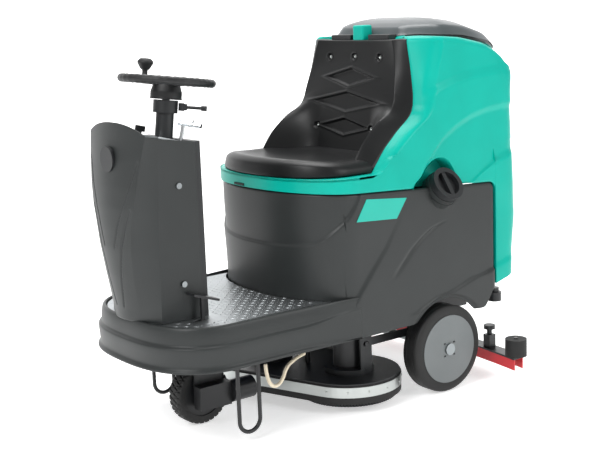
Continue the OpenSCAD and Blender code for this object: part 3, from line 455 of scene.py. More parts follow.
depth = tank_relief(moved, height) * ramp(side_only, 0.90,
                                          0.995) + 0.0035 * (1 - ramp(height - low, 0, 0.006)) * (ys < 0.583)
lower_grid = np.stack([np.broadcast_to(lower_plan[:, 0], moved.shape) * (1 - depth / half_width), moved,
                       height], 2)
near = np.where(ys < 0.135)[0]
top_edge = lower_grid[-1][near]
middle = np.array([0, 0.02])
steps = []
rounding = 0.008 * (1 - ramp(ys[near], 0.030, 0.056))[:, None]
for turn in np.linspace(0, math.pi / 2, 6):
    inward = rounding * (1 - math.cos(turn))
    reach = np.linalg.norm(top_edge[:, :2] - middle, axis=1)[:, None]
    steps.append(np.concatenate([middle + (top_edge[:, :2] - middle) * (1 - inward / reach),
                                 top_edge[:, 2:] + rounding * (math.sin(turn) - 1)], 1))
lower_grid[-1, near, 2] -= rounding[:, 0]
steps.append(np.concatenate([middle + (top_edge[:, :2] - middle) * (1 - 0.06 / reach),
                             top_edge[:, 2:] - 0.001], 1))
return_grid = np.array(steps)
# the upper part: a closed loop at each height; its front follows the seat, its rear the rear face
corner_out = rounded_end(half_width, 0, 0.088, 4.4, 34)[::-1]
counts = (26, 26, 90, len(corner_out))
kind = np.repeat(np.arange(4), counts)
step = np.concatenate([np.linspace(0, 1, n + 1)[(0 if k == 0 else 1):][:n] for k, n in enumerate(counts)])
step[kind == 3] = corner_out[:, 1]
flat_x = np.where(kind == 3, np.concatenate([np.zeros(sum(counts[:3])), corner_out[:, 0]]), half_width)
kind, step, flat_x, hand = (np.concatenate([a, a[-2:0:-1] * b]) for a,
                            b in ((kind, 1), (step, 1), (flat_x, 1),
                                                                         (np.ones(len(kind)), -1)))


def loop_points(z):
    """Place across and along of each column at the heights given: behind the seat, round the front corner
    on a quadratic Bezier curve, straight along the side, and round the rear corner."""
    edge_x, edge_y, rear = seat_half(z), seat_line(z), rear_line(z)
    turn_y = through(z, [(0.776, 0.036), (0.90, 0.046), (1.05, 0.062), (1.15, 0.086), (1.20, 0.090)])
    back = through(z, [(0.776, 0.150), (0.85, 0.100), (0.92, 0.050), (0.96, 0.022), (1.10, 0.022),
                       (1.19, 0.030)])
    control = through(z, [(1.00, 0.328), (1.10, 0.310), (1.19, 0.290)])
    bend_x = (1 - step) ** 2 * edge_x + 2 * step * (1 - step) * control + step ** 2 * half_width
    bend_y = edge_y + turn_y * (2 * step * (1 - step) * 0.42 + step ** 2)
    x = np.select([kind == 0, kind == 1], [step * edge_x, bend_x], flat_x)
    y = np.select([kind == 0, kind == 1, kind == 2],
                  [edge_y + back * (1 - ramp(step, 0.80, 0.97)), bend_y,
                   edge_y + turn_y + (rear - 0.088 - edge_y - turn_y) * step], rear - step)
    return x * hand, y


def shoulder(y):
    """Height of the tank's upper outer edge."""
    return through(y, [(0.181, 1.188), (0.286, 1.197), (0.435, 1.186), (0.551, 1.163), (0.623, 1.127),
                       (0.656, 1.093),
                       (0.72, 1.080)])


share = np.linspace(0, 1, 90)[:, None]
height = band_top + 0.40 * share + 0 * flat_x
for _ in range(6):
    across, place = loop_points(height)
    bottom = split_height(place)
    height = bottom + (shoulder(place) - 0.020 - bottom) * share
across, place = loop_points(height)
depth = tank_relief(place, height) * ramp(np.abs(across) / half_width, 0.90, 0.995)
upper_grid = np.stack([across * (1 - depth / half_width), place, height], 2)
rim = upper_grid[-1]
mid_y = (rim[:, 1].min() + rim[:, 1].max()) / 2
along = (rim[:, 1] - rim[:, 1].min()) / (rim[:, 1].max() - rim[:, 1].min())


def deck_height(y):
    """Height of the tank's top under the lid's edge."""
    return through(y, [(0.20, 1.187), (0.338, 1.193), (0.490, 1.183), (0.617, 1.157), (0.672, 1.126)])


rows = []
for turn in np.linspace(0, math.pi / 2, 7)[1:]:
    scale = 1 - 0.020 * (1 - math.cos(turn)) / 0.33
    rows.append(np.stack([rim[:, 0] * scale, mid_y + (rim[:,
                                                          1] - mid_y)
                                                          * (1 - 0.020 * (1 - math.cos(turn)) / 0.24),
                          rim[:, 2] + 0.020 * math.sin(turn)], 1))
for x_share, y0, y1, lift in ((0.81, 0.300, 0.672, 0), (0.72, 0.333, 0.632, -0.001),
                              (0.715, 0.335, 0.630, -0.008)):
    y = y0 + along * (y1 - y0)
    rows.append(np.stack([rim[:, 0] * x_share, y, deck_height(y) + lift], 1))
rows.append(rows[-1] * (1, 1, 0) + (0, 0, 0.992))
rows.append(np.stack([rim[:, 0] * 0.02, 0.48 + 0.02 * (rim[:, 1] - mid_y), np.full(len(rim), 0.991)], 1))
cover_grid = np.concatenate([rim[None], np.array(rows)])
pocket_y = np.linspace(0.1995, 0.4115, 60)
pocket = []
for side in (1, -1):
    edge = np.stack([np.full(60, side * half_width), pocket_y, recess_edge(pocket_y)], 1)
    edge[:, 0] -= side * tank_relief(edge[:, 1], edge[:, 2])
    floor_line = np.stack([np.full(60, side * 0.262), pocket_y, line_height(pocket_y) - 0.004], 1)
    wall = np.array([edge, edge - (side * 0.004, 0, 0.002), edge * (0, 1, 1) + (side * 0.262, 0, -0.002)])
    pocket.append((surface("pocket", [wall, np.array([wall[-1], floor_line])], (0.6 * side, 0.3, 0.6), 35)))
# the foot behind the body is closed by a strip under it and a front wall on each side
behind_body = lower_grid[0][ys >= 0.583]
foot_under = np.array([behind_body, behind_body * (0.92, 0.75, 1) + (0, 0.25 * foot_start, 0)])
foot_front = [np.stack([lower_grid[:, i], lower_grid[:, i] * (0.90, 1, 1)], 1)
              for i in np.where(np.isclose(ys, foot_start))[0]]
tank_mesh = surface("recovery_tank_shell", [lower_grid, foot_under, *foot_front, (upper_grid, True)],
                    (0, 0.62, 0.8), 40)
link("recovery_tank_shell", tank_mesh, teal, "upper_tank", "recovery_tank")
top_mesh = surface("recovery_tank_top", [return_grid, (cover_grid, True)], (0, 0.3, 0.6), 40)
link("recovery_tank_top", top_mesh, teal, "upper_tank", "recovery_tank")
for number, mesh in enumerate(pocket):
    link(f"filler_recess_{number}", mesh, teal, "upper_tank", "recovery_tank")


def block(name, low, high, material, body, edge=0.003, replaced=(), turns=3):
    """A box between two corners with its edges rounded."""
    low, high = np.array(low), np.array(high)
    pick = np.array([[(i >> k) & 1 for k in range(3)] for i in range(8)])
    mesh = bpy.data.meshes.new(name)
    mesh.from_pydata((low + pick * (high - low)).tolist(), [],
                     [(0, 2, 3, 1), (4, 5, 7, 6), (0, 1, 5, 4), (2, 6, 7, 3),
                                                               (0, 4, 6, 2), (1, 3, 7, 5)])
    piece = link(name, mesh, material, body, replaced)
    bevel = piece.modifiers.new("round", "BEVEL")
    bevel.width, bevel.segments, bevel.limit_method = edge, turns, "ANGLE"
    mesh.polygons.foreach_set("use_smooth", np.ones(6, bool))
    normals = piece.modifiers.new("normals", "WEIGHTED_NORMAL")
    normals.keep_sharp = True
    return piece


# Painted shade: a near-black teal material that stands for the dark inside of the finger notch.
notch_painted_shade = finish("shadowed_polyethylene", "#04211e", 0.7, 1.8, 0.03)
block("lid_hinge_block", (-0.028, 0.262, 1.176), (0.028, 0.306, 1.234), teal, "upper_tank", 0.007,
      "recovery_tank")

# The finger notch is not cut into the shell: a thin block in painted shade sits just in front of the band
# where the notch is.
block("finger_notch_painted_shade", (-0.083, -0.2150, 0.7380), (-0.027, -0.2118, 0.7462), notch_painted_shade, "upper_tank", 0.001,
      ())

# ---- Lid ----------------------------------------------------------------------------------------
# The recovery tank's lid is a vacuum-formed grey cover, crowned along the machine, with a chamfered
# border; it swings on a pin behind the seat and is held there by two black brackets.

lid_front, lid_middle, lid_rear = 0.302, 0.497, 0.692


def lid_edge(y):
    """Height of the lid's lower edge."""
    return through(y, [(0.29, 1.193), (0.338, 1.198), (0.490, 1.188), (0.617, 1.163), (0.678, 1.133),
                       (0.70, 1.128)])


def lid_crown(y):
    """Height of the lid along its middle."""
    return through(y, [(0.29, 1.214), (0.302, 1.222), (0.332, 1.247), (0.372, 1.254), (0.440, 1.256),
                       (0.522, 1.246),
                       (0.592, 1.218), (0.660, 1.172), (0.70, 1.134)])


outline = curve([(0, lid_front), (0.080, lid_front), (0.140, lid_front), (0.165, 0.308), (0.200, 0.338),
                 (0.240, 0.376),
                 (0.268, 0.420), (0.273, 0.500), (0.273, 0.580), (0.262, 0.640), (0.225, 0.680),
                 (0.160, 0.690),
                 (0.080, lid_rear), (0, lid_rear)], 120)
rim = np.concatenate([outline, outline[-2:0:-1] * (-1, 1)])
rows = [np.stack([rim[:, 0] * 0.985, lid_middle + (rim[:, 1] - lid_middle) * 0.985,
                  lid_edge(rim[:, 1]) + 0.004], 1)]
for s in np.concatenate([[1.0], 1 - np.linspace(0.004, 0.10, 10), np.linspace(0.89, 0.01, 50)]):
    x, y = rim[:, 0] * s, lid_middle + (rim[:, 1] - lid_middle) * s
    border = 0.022 * ramp(1 - s, -0.03, 0.10)
    rise = (lid_crown(y) - lid_edge(y) - 0.022) * (1 - s ** 4)
    rows.append(np.stack([x, y, lid_edge(y) + border + rise], 1))
lid_grey = finish("vacuum_formed_abs_grey", "#464c4e", 0.30, 1.5, 0.02, mottle=0.03)
link("tank_lid_shell", surface("tank_lid_shell", [(np.array(rows), True)], (0, 0.5, 1.0), 28), lid_grey,
     "lid",
     "tank_lid")
lid_pad = np.stack([rim[:, 0] * 0.98, lid_middle + (rim[:, 1] - lid_middle) * 0.98,
                    lid_edge(rim[:, 1]) + 0.003], 1)
under = [lid_pad]
for s in (0.9, 0.5, 0.02):
    y = lid_middle + (rim[:, 1] - lid_middle) * s
    under.append(np.stack([rim[:, 0] * s, y, lid_edge(y) + 0.020 + 0.8
                           * (lid_crown(y) - lid_edge(y) - 0.022) * (1 - s ** 4)], 1))
link("tank_lid_underside", surface("tank_lid_underside", [(np.array(under), True)], (0, 0.5, 1.6), 28),
     lid_grey, "lid",
     "tank_lid")
black_moulded = finish("injection_moulded_polypropylene_black", "#1c1e20", 0.42, 1.2, 0.025, mottle=0.04)
for side in (1, -1):
    ends = sorted((side * 0.046, side * 0.150))
    block(f"lid_bracket_{'left' if side > 0 else 'right'}", (ends[0], 0.268, 1.182), (ends[1], 0.308, 1.202),
          black_moulded,
          "upper_tank", 0.003, "recovery_tank")

# ---- Filler neck --------------------------------------------------------------------------------
# A cone moulded into the grey body carries the threaded filler neck out to the side. The cap is a
# black moulded ring with a dished top and a grip bar.


def revolve(profile, centre, axis="x", steps=96, dent=None):
    """Grid of a profile of (along the axis, radius) turned about an axis through `centre`. dent(turn,
    profile) gives how far the radius and the place along the axis move at each angle and profile point."""
    profile = np.array(profile, float)
    turn = np.linspace(0, 2 * math.pi, steps, endpoint=False)
    along = np.broadcast_to(profile[:, :1], (len(profile), steps)).copy()
    radius = np.broadcast_to(profile[:, 1:], (len(profile), steps)).copy()
    if dent:
        more_radius, more_along = dent(turn[None], profile[:, :1], profile[:, 1:])
        radius, along = radius + more_radius, along + more_along
    u, v = radius * np.cos(turn), radius * np.sin(turn)
    order = {"x": (along, u, v), "y": (v, along, u), "z": (u, v, along)}[axis]
    return np.stack(order, 2) + np.array(centre), True


def soften(profile, n):
    """The profile with its corners rounded: n points on a Catmull-Rom curve, evenly spaced."""
    return evenly(curve(profile, 400), n)


neck_axis = np.array([0.819, 0, 0.574])
neck_base = np.array([0.308, 0.333, 0.685])
reach = np.linspace(0, 1, 24)[:, None]
turn = np.linspace(0, 2 * math.pi, 72, endpoint=False)[None]
across = np.array([0, 1.0, 0])
upward = np.cross(neck_axis, across) * -1
mouth = (neck_base + neck_axis * 0.016 + 0.0615 * (np.cos(turn)[..., None] * across + np.sin(turn)[...,
                                                                                                   None]
                                                                                                   * upward))
down = np.clip(-np.sin(turn), 0, 1)
foot = np.stack([np.full_like(turn, 0.325), 0.326 + 0.078 * np.cos(turn),
                 0.676 + 0.020 * np.clip(np.sin(turn), 0, 1) - 0.072 * down ** 0.8], 2)
bend = ramp(reach, 0, 1)[..., None]
bulge = mouth * (1 - bend) + foot * bend
bulge[..., 0] += 0.010 * np.sin(math.pi * reach) * down
link("filler_neck_bulge", surface("filler_neck_bulge", [(bulge, True)], (0.25, 0.333, 0.66), 60), charcoal,
     "chassis",
     "lower_body")

# ---- Seat ---------------------------------------------------------------------------------------
# A one-piece moulded shell of black vinyl skin over foam: a dished cushion, a back with raised wings
# and three pressed diamonds, and five bolts in counterbores.

seat_vinyl = finish("moulded_vinyl_skin_black", "#0e0f10", 0.40, 1.1, 0.05, mottle=0.05,
                    **{"Specular IOR Level": 0.32})
middle_line = [(0, 0.172, 0.800), (0, 0.181, 0.840), (0, 0.188, 0.890), (0, 0.197, 0.950), (0, 0.208, 1.010),
               (0, 0.224, 1.065), (0, 0.240, 1.115), (0, 0.248, 1.150), (0, 0.254, 1.180)]
ridge_line = [(0.250, 0.006, 0.797), (0.250, 0.019, 0.813), (0.250, 0.063, 0.872), (0.246, 0.126, 0.926),
              (0.243, 0.184, 0.957),
              (0.239, 0.204, 0.985), (0.235, 0.212, 1.016), (0.227, 0.222, 1.056), (0.218, 0.232, 1.096),
              (0.206, 0.240, 1.150),
              (0.194, 0.244, 1.182)]
tank_line = [(0.290, 0.030, 0.777), (0.291, 0.051, 0.785), (0.288, 0.113, 0.847), (0.284, 0.176, 0.901),
             (0.280, 0.226, 0.936),
             (0.277, 0.248, 0.965), (0.272, 0.256, 1.013), (0.256, 0.262, 1.094), (0.243, 0.265, 1.150),
             (0.236, 0.267, 1.182)]
middle_line, ridge_line, tank_line = (evenly(curve(line, 400), 150) for line in (middle_line, ridge_line,
                                                                                 tank_line))
wing = (1 - ramp(ridge_line[:, 2], 0.930, 0.985))[:, None]
inner = np.concatenate([np.linspace(0, 0.86, 44), np.linspace(0.872, 0.998, 12)])
columns = []
for t in inner:
    pull = np.clip((t - 0.52) / 0.48, 0, 1) ** 1.9 * wing + t ** 4 * (1 - wing)
    place = middle_line * (1 - pull) + ridge_line * pull
    place[:, 0] = ridge_line[:, 0] * t
    columns.append(place)
for t in np.concatenate([[0.06, 0.14], np.linspace(0.24, 0.93, 12), [0.975, 1.0]]):
    place = ridge_line * (1 - t) + tank_line * t
    columns.append(place - np.array([0, 0.003, -0.001]) * math.sin(math.pi * t))
columns.append(tank_line + (0.0015, 0.030, 0))
back_half = np.array(columns).transpose(1, 0, 2).copy()


def pressed(x, z):
    """Depth of the three pressed diamonds: 6.5 mm inside, with a rounded rim that stands 3 mm proud."""
    depth = 0
    for z0, half_wide, half_high in ((1.062, 0.126, 0.030), (0.980, 0.176, 0.033), (0.897, 0.128, 0.028)):
        inside = 1 - np.abs(x) / half_wide - np.abs(z - z0) / half_high
        depth = depth + 0.0065 * ramp(inside, -0.05, 0.22) - 0.0030 * np.exp(-((inside + 0.10) / 0.12) ** 2)
    return depth


back_half[..., 1] += pressed(back_half[..., 0], back_half[..., 2])
for x, z in ((0, 1.130), (0.130, 1.128), (0.142, 0.896)):
    gap = np.hypot(back_half[..., 0] - x, back_half[..., 2] - z)
    back_half[..., 1] += (0.012 * (1 - ramp(gap, 0.008, 0.0125))
                          - 0.0012 * np.exp(-((gap - 0.0145) / 0.0025) ** 2))
top_row = back_half[-1]
caps = [top_row + (0, 0.0015, 0.0030), top_row + (0, 0.006, 0.0045),
        top_row * (0.99, 1, 1) + (0, 0.030, 0.0050),
        top_row * (0.98, 1, 1) + (0, 0.045, 0.0030), top_row * (0.98, 1, 1) + (0, 0.046, -0.030)]
back_half = np.concatenate([back_half, np.array(caps)])
back_grid = np.concatenate([back_half[:, :0:-1] * (-1, 1, 1), back_half], 1)
seat_back = link("seat_back", surface("seat_back", [back_grid], (0, 0.60, 1.0), 50), seat_vinyl,
                 "upper_tank", "seat")
cushion_front = evenly(rounded_end(0.2925, -0.209, 0.178, 2.2, 80), 90)
cushion_half = np.concatenate([cushion_front, [(0.2925, y) for y in np.linspace(-0.026, 0.072, 22)],
                               rounded_end(0.2925, 0, 0.150, 3, 40)[::-1] * (1, -1) + (0, 0.212)])
cushion_rim = np.concatenate([cushion_half, cushion_half[-2:0:-1] * (-1, 1)])
rings = [(0.02, 0.7772), (0.5, 0.7772), (0.95, 0.7772), (0.985, 0.7775), (0.996, 0.7790), (1.0, 0.7825),
         (0.998, 0.7900),
         (0.988, 0.7990), (0.965, 0.8080), (0.930, 0.8150), (0.890, 0.8195), (0.850, 0.8210),
         (0.820, 0.8205), (0.780, 0.8180),
         (0.730, 0.8145), (0.660, 0.8110), (0.560, 0.8075), (0.420, 0.8050), (0.250, 0.8040), (0.02, 0.8035)]
ring_curve = curve([(s, z) for s, z in rings], 110)
cushion_middle = np.array([0, 0.010])
cushion = []
for s, z in ring_curve:
    plan_xy = cushion_middle + (cushion_rim - cushion_middle) * s
    lift = 0.012 * ramp(-plan_xy[:, 1], 0.02, 0.19) * ramp(s, 0.2, 0.9) * (z > 0.785) * ramp(1.001 - s, 0,
                                                                                             0.03)
    cushion.append(np.concatenate([plan_xy, (z + lift)[:, None]], 1))
cushion = np.array(cushion)
seat_cushion = link("seat_cushion", surface("seat_cushion", [(cushion, True)], (0, 0, 0.795), 50),
                    seat_vinyl, "upper_tank",
                    "seat")
zinc = finish("zinc_plated_steel", "#b9bdbb", 0.30, 0.8, 0.004, metal=1, mottle=0.08)
bolt_profile = soften([(0.006, 0.001), (-0.001, 0.001), (-0.004, 0.0045), (-0.0035, 0.0060), (0.000, 0.0062),
                       (0.004, 0.0062)], 20)
bolt_grids = []
for x, z in ((0, 1.130), (0.130, 1.128), (-0.130, 1.128), (0.142, 0.896), (-0.142, 0.896)):
    row = int(np.abs(back_half[:150, 0, 2] - z).argmin())
    column = int(np.abs(back_half[row, :, 0] - abs(x)).argmin())
    bolt_grids.append(revolve(bolt_profile, (x, back_half[row, column, 1] - 0.003, z), "y", 24))
link("seat_bolt_heads", surface("seat_bolt_heads", bolt_grids, (0, 0.9, 1.0), 40), zinc, "upper_tank",
     "seat_bolts")

# ---- Front cowl ---------------------------------------------------------------------------------
# The cowl is a thick-walled moulding: a curved shield between two creases that spread towards the
# top, a chamfer and a flat side on each side of it, open at the back where the column comes down.

cowl_foot = 0.391
crease_line = [(0.391, 0.082, -0.680), (0.425, 0.082, -0.683), (0.532, 0.087, -0.699),
               (0.620, 0.097, -0.708),
               (0.681, 0.107, -0.709), (0.739, 0.123, -0.707), (0.800, 0.138, -0.701),
               (0.883, 0.153, -0.690), (0.955, 0.166, -0.678),
               (1.000, 0.172, -0.672)]
cowl_z = np.array([c[0] for c in crease_line])
chamfer_line = [(0.391, 0.150, -0.648), (0.600, 0.151, -0.645), (0.801, 0.155, -0.640),
                (0.900, 0.160, -0.638), (1.0, 0.165, -0.636)]


def crease_at(z):
    """Half width and distance along the machine of the cowl's front crease."""
    xs = np.interp(z, cowl_z, [c[1] for c in crease_line])
    return xs, np.interp(z, cowl_z, [c[2] for c in crease_line])


crown_cols, chamfer_cols, side_cols = 46, 10, 24
top_line = np.concatenate([0.988 - 0.033 * np.linspace(0, 1, crown_cols) ** 2.2,
                           np.linspace(0.953, 0.944, chamfer_cols),
                           np.linspace(0.942, 0.924, side_cols)])
share = np.linspace(0, 1, 110)[:, None]
height = cowl_foot + 0.0005 + (top_line - cowl_foot) * share
crease_x, crease_y = crease_at(height)
corner_x = np.interp(height, [c[0] for c in chamfer_line], [c[1] for c in chamfer_line])
corner_y = np.interp(height, [c[0] for c in chamfer_line], [c[2] for c in chamfer_line])
part = np.concatenate([np.linspace(0, 1, crown_cols), 1 + np.linspace(0, 1, chamfer_cols + 1)[1:],
                       2 + np.linspace(0, 1, side_cols + 1)[1:]])
crown = np.clip(part, 0, 1)
chamfer = np.clip(part - 1, 0, 1)
flat = np.clip(part - 2, 0, 1)
crease_x = np.minimum(crease_x, 0.172)
x = crease_x * crown * (part <= 1) + (crease_x + (corner_x - crease_x) * chamfer) * (part > 1) * (part <= 2)
x = x + (corner_x + (0.157 - corner_x) * flat) * (part > 2)
y = (crease_y - 0.020 * (1 - crown ** 2)) * (part <= 1) + (crease_y + (corner_y - crease_y)
                                                           * chamfer) * (part > 1) * (part <= 2)
y = y + (corner_y + (-0.5065 - corner_y) * flat) * (part > 2)
scoop_line = np.interp(height, [0.40, 0.47, 0.56, 0.66, 0.76], [0.20, 0.34, 0.50, 0.72, 0.93])
groove = np.exp(-((crown - scoop_line) / 0.035) ** 2) * (height < 0.74) * (height > 0.43) * (part < 1)
second_line = np.interp(height, [0.55, 0.66, 0.80, 0.90], [0.10, 0.42, 0.78, 0.97])
groove = groove + (0.8 * np.exp(-((crown - second_line) / 0.030) ** 2)
                   * (height < 0.88) * (height > 0.62) * (part < 1))
y = y + 0.0030 * groove
cowl_half = np.stack([x, y, height], 2)
cowl_grid = np.concatenate([cowl_half[:, :0:-1] * (-1, 1, 1), cowl_half], 1)
cowl = link("front_cowl_shell", surface("front_cowl_shell", [cowl_grid], (0, -0.55, 0.6), 24), charcoal,
            "chassis",
            "front_cowl")
wall = cowl.modifiers.new("wall", "SOLIDIFY")
wall.thickness, wall.offset = 0.0045, -1
rounding = cowl.modifiers.new("round", "BEVEL")
rounding.width, rounding.segments = 0.0016, 2
rounding.limit_method, rounding.angle_limit = "ANGLE", math.radians(50)

# ---- Steering -----------------------------------------------------------------------------------
# The steering wheel is a steel ring under soft black polyurethane, with a moulded boss, three flat
# spokes and finger swells under the rim. The spinner knob on it is a turned plastic mushroom.

column_at = np.array([0, -0.496, 1.097])
lean = math.radians(7.6)
column_axes = np.array([[1, 0, 0], [0, math.cos(lean), -math.sin(lean)],
                        [0, math.sin(lean), math.cos(lean)]])


def on_column(points):
    """Moves points from the steering column's own axes, origin in the rim's plane, to their place."""
    return points @ column_axes + column_at


soft_grip = finish("integral_skin_polyurethane_black", "#151617", 0.50, 0.9, 0.05, mottle=0.05)
turn = np.linspace(0, 2 * math.pi, 180, endpoint=False)
ring_path = np.stack([0.136 * np.cos(turn), 0.136 * np.sin(turn), 0 * turn], 1)
round_rim, _ = tube(ring_path, 0.0125 + 0.0006 * np.cos(turn * 36), 28, True)
round_rim = np.concatenate([round_rim, round_rim[:1]])
boss = revolve(soften([(-0.056, 0.002), (-0.056, 0.046), (-0.050, 0.048), (-0.034, 0.048), (-0.028, 0.046),
                       (-0.010, 0.040),
                       (-0.004, 0.034), (-0.002, 0.026), (-0.004, 0.022), (-0.003, 0.002)], 70), (0, 0, 0),
                       "z", 64)[0]
spokes = []
for angle in (0, math.pi, -math.pi / 2):
    direction = np.array([math.cos(angle), math.sin(angle)])
    length = np.linspace(0.028, 0.132, 30)
    width = 0.0175 - 0.0045 * np.sin(math.pi * (length - 0.028) / 0.104)
    around = np.linspace(0, 2 * math.pi, 28, endpoint=False)
    cross = [np.sign(wave) * np.abs(wave) ** 0.6 for wave in (np.cos(around), np.sin(around))]
    side = np.array([-direction[1], direction[0]])
    centre_z = -0.010 + 0.006 * ramp(length, 0.08, 0.13)
    grid = np.zeros((30, 28, 3))
    grid[..., :2] = length[:, None, None] * direction + (width[:, None] * cross[0])[..., None] * side
    grid[..., 2] = centre_z[:, None] + 0.0045 * cross[1]
    spokes.append((on_column(grid), True))
wheel_mesh = surface("steering_boss", [(on_column(boss), True)] + spokes,
                     tuple(column_at - 0.03 * column_axes[2]), 45)
link("steering_boss", wheel_mesh, soft_grip, "steering", "steering_wheel")
link("steering_rim", surface("steering_rim", [(on_column(round_rim), True)], "ring", 0), soft_grip,
     "steering",
     "steering_wheel")
knob_profile = soften([(0.0006, 0.009), (0.016, 0.009), (0.020, 0.014), (0.030, 0.020), (0.038, 0.0245),
                       (0.043, 0.0248),
                       (0.048, 0.022), (0.053, 0.016), (0.0545, 0.002)], 60)
knob = revolve(knob_profile, (-0.136, 0, 0.0125), "z", 48)[0]
link("spinner_grip", surface("spinner_grip", [(on_column(knob), True)],
                             tuple(on_column(np.array([-0.136, 0, 0.04]))), 40),
     soft_grip, "spinner", "spinner_knob")

# ---- Wheels -------------------------------------------------------------------------------------
# Rear wheels: solid black rubber tyres on grey cast hubs with shallow rays and four bolt holes, whose shade
# is painted black.
# Drive wheel: a rubber tyre with crossed grooves, bonded to its hub.

tyre_rubber = finish("moulded_solid_rubber_black", "#161616", 0.62, 1.4, 0.06, mottle=0.10)
hub_grey = finish("die_cast_aluminium_painted_grey", "#6b7071", 0.42, 1.0, 0.02, mottle=0.05)
rear_tyre_profile = soften([(-0.0365, 0.116), (-0.0368, 0.132), (-0.034, 0.143), (-0.028, 0.1485),
                            (-0.020, 0.1500), (-0.0135, 0.1500),
                            (-0.012, 0.1478), (-0.0105, 0.1500), (0.0, 0.1500), (0.0105, 0.1500),
                            (0.012, 0.1478), (0.0135, 0.1500),
                            (0.020, 0.1500), (0.028, 0.1485), (0.034, 0.143), (0.0368, 0.132),
                            (0.0365, 0.116)], 100)
rear_tyre_profile[:, 1] = np.clip(rear_tyre_profile[:, 1], 0, 0.1500)


def rays(turn, along, radius):
    """Twelve shallow rays in the hub's face, 1.4 mm deep."""
    window = ramp(radius, 0.042, 0.055) * (1 - ramp(radius, 0.088, 0.100)) * (along > 0.001)
    return 0 * turn * radius, -0.0014 * window * (0.5 + 0.5 * np.cos(12 * turn)) ** 3


hub_profile = soften([(0.000, 0.1155), (0.0010, 0.1150), (0.0060, 0.1140), (0.0085, 0.1110),
                      (0.0080, 0.1060), (0.0040, 0.1020),
                      (0.0030, 0.0960), (0.0045, 0.0800), (0.0060, 0.0550), (0.0062, 0.0420),
                      (0.0060, 0.0270), (0.0095, 0.0255),
                      (0.0105, 0.0230), (0.0115, 0.0120), (0.0118, 0.0005)], 130)
for side, name in ((1, "left"), (-1, "right")):
    centre = (side * 0.3025, axle_y, axle_z)
    tyre_grid = revolve(rear_tyre_profile * (side, 1), centre, "x", 128)
    tyre = surface(f"rear_tread_{name}", [tyre_grid], centre, 50)
    link(f"rear_tread_{name}", tyre, tyre_rubber, f"rear_wheel_{name}", f"rear_tyre_{name}")
    face = (side * 0.3290, axle_y, axle_z)
    hub_grid = revolve(hub_profile, (0, 0, 0), "x", 144, rays)[0] * (side, 1, 1) + face
    hub_mesh = surface(f"hub_face_{name}", [(hub_grid, True)], (side * 0.30, axle_y, axle_z), 40)
    link(f"hub_face_{name}", hub_mesh, hub_grey, f"rear_wheel_{name}", ())
    # Each bolt hole is a shallow black cup: the black is painted shade for the dark inside of the hole.
    painted_hole_shades = []
    for k in range(4):
        angle = math.radians(45 + 90 * k)
        hole_at = np.array(face) + (side * 0.0040, 0.034 * math.cos(angle), 0.034 * math.sin(angle))
        painted_hole_shades.append(revolve([(0.0, 0.0062), (side * 0.0026, 0.0062), (side * 0.0027, 0.0050),
                              (side * 0.0012, 0.0042),
                              (side * 0.0010, 0.0003)], hole_at, "x", 20))
    link(f"hub_hole_painted_shade_{name}", surface(f"hub_hole_painted_shade_{name}", painted_hole_shades, (0, axle_y, axle_z), 40), black_moulded,
         f"rear_wheel_{name}", ())


def crossed(turn, along, radius):
    """Crossed grooves 3.4 mm deep: where 30 slanting lines one way or the other pass, out at the tread."""
    tread = ramp(radius, 0.088, 0.095)
    lines = [0.5 + 0.5 * np.cos(30 * turn + way * along / 0.0075) for way in (1, -1)]
    return -0.0034 * tread * np.clip(ramp(lines[0], 0.80, 0.95) + ramp(lines[1], 0.80, 0.95), 0,
                                     1), 0 * turn * along


drive_profile = soften([(-0.0295, 0.070), (-0.0298, 0.088), (-0.027, 0.0945), (-0.022, 0.0975),
                        (-0.012, 0.0980), (0, 0.0980),
                        (0.012, 0.0980), (0.022, 0.0975), (0.027, 0.0945), (0.0298, 0.088), (0.0295, 0.070)],
                        90)
drive_tread = revolve(drive_profile, (0, -0.443, 0.098), "x", 480, crossed)
link("drive_tread", surface("drive_tread", [drive_tread], (0, -0.443, 0.098), 50), tyre_rubber,
     "drive_wheel", "drive_tyre")

# ---- Brush deck ---------------------------------------------------------------------------------
# Two disc brushes of black polypropylene tufts under a black polyethylene deck. A zinc band with
# pressed rivets holds the rubber splash skirt on.

tuft_black = finish("extruded_polypropylene_bristle", "#1f2123", 0.55, 0.8, 0.03, mottle=0.1)
for name, x, y in (("left", 0.155, 0.0535), ("right", -0.155, -0.0565)):
    tufts = []
    for radius, count in ((0.152, 96), (0.134, 84), (0.116, 72), (0.098, 60)):
        angle = np.linspace(0, 2 * math.pi, count, endpoint=False)
        foot_at = np.stack([x + radius * np.cos(angle), y + radius * np.sin(angle)], 1)
        around = np.linspace(0, 2 * math.pi, 6, endpoint=False)
        for k in range(count):
            out_way = (foot_at[k] - (x, y)) / radius
            ring = [np.stack([foot_at[k, 0] + out_way[0] * s + r * np.cos(around),
                              foot_at[k, 1] + out_way[1] * s + r * np.sin(around),
                              np.full(6, z)], 1) for r, z,
                              s in ((0.0038, 0.054, 0), (0.0046, 0.036, 0.001), (0.0058, 0.0222, 0.002),
                                                                 (0.0004, 0.0221, 0.002))]
            tufts.append((np.array(ring), True))
    link(f"brush_tufts_{name}", surface(f"brush_tufts_{name}", tufts, (x, y, 0.30), 50), tuft_black,
         f"{name}_brush",
         f"brush_{name}")
    disc = revolve(soften([(0.0525, 0.066), (0.0525, 0.156), (0.0535, 0.1590), (0.060, 0.1590),
                           (0.0622, 0.1570), (0.0622, 0.040),
                           (0.064, 0.016), (0.068, 0.014), (0.150, 0.014), (0.1525, 0.0005)], 80), (x, y, 0),
                           "z", 96)
    link(f"brush_disc_{name}", surface(f"brush_disc_{name}", [disc], (x, y, 0.057), 40), black_moulded,
         f"{name}_brush",
         f"brush_{name}")
rivet_profile = soften([(0.0008, 0.0042), (0.0018, 0.0040), (0.0028, 0.0026), (0.0031, 0.0003)], 12)
rivets = []
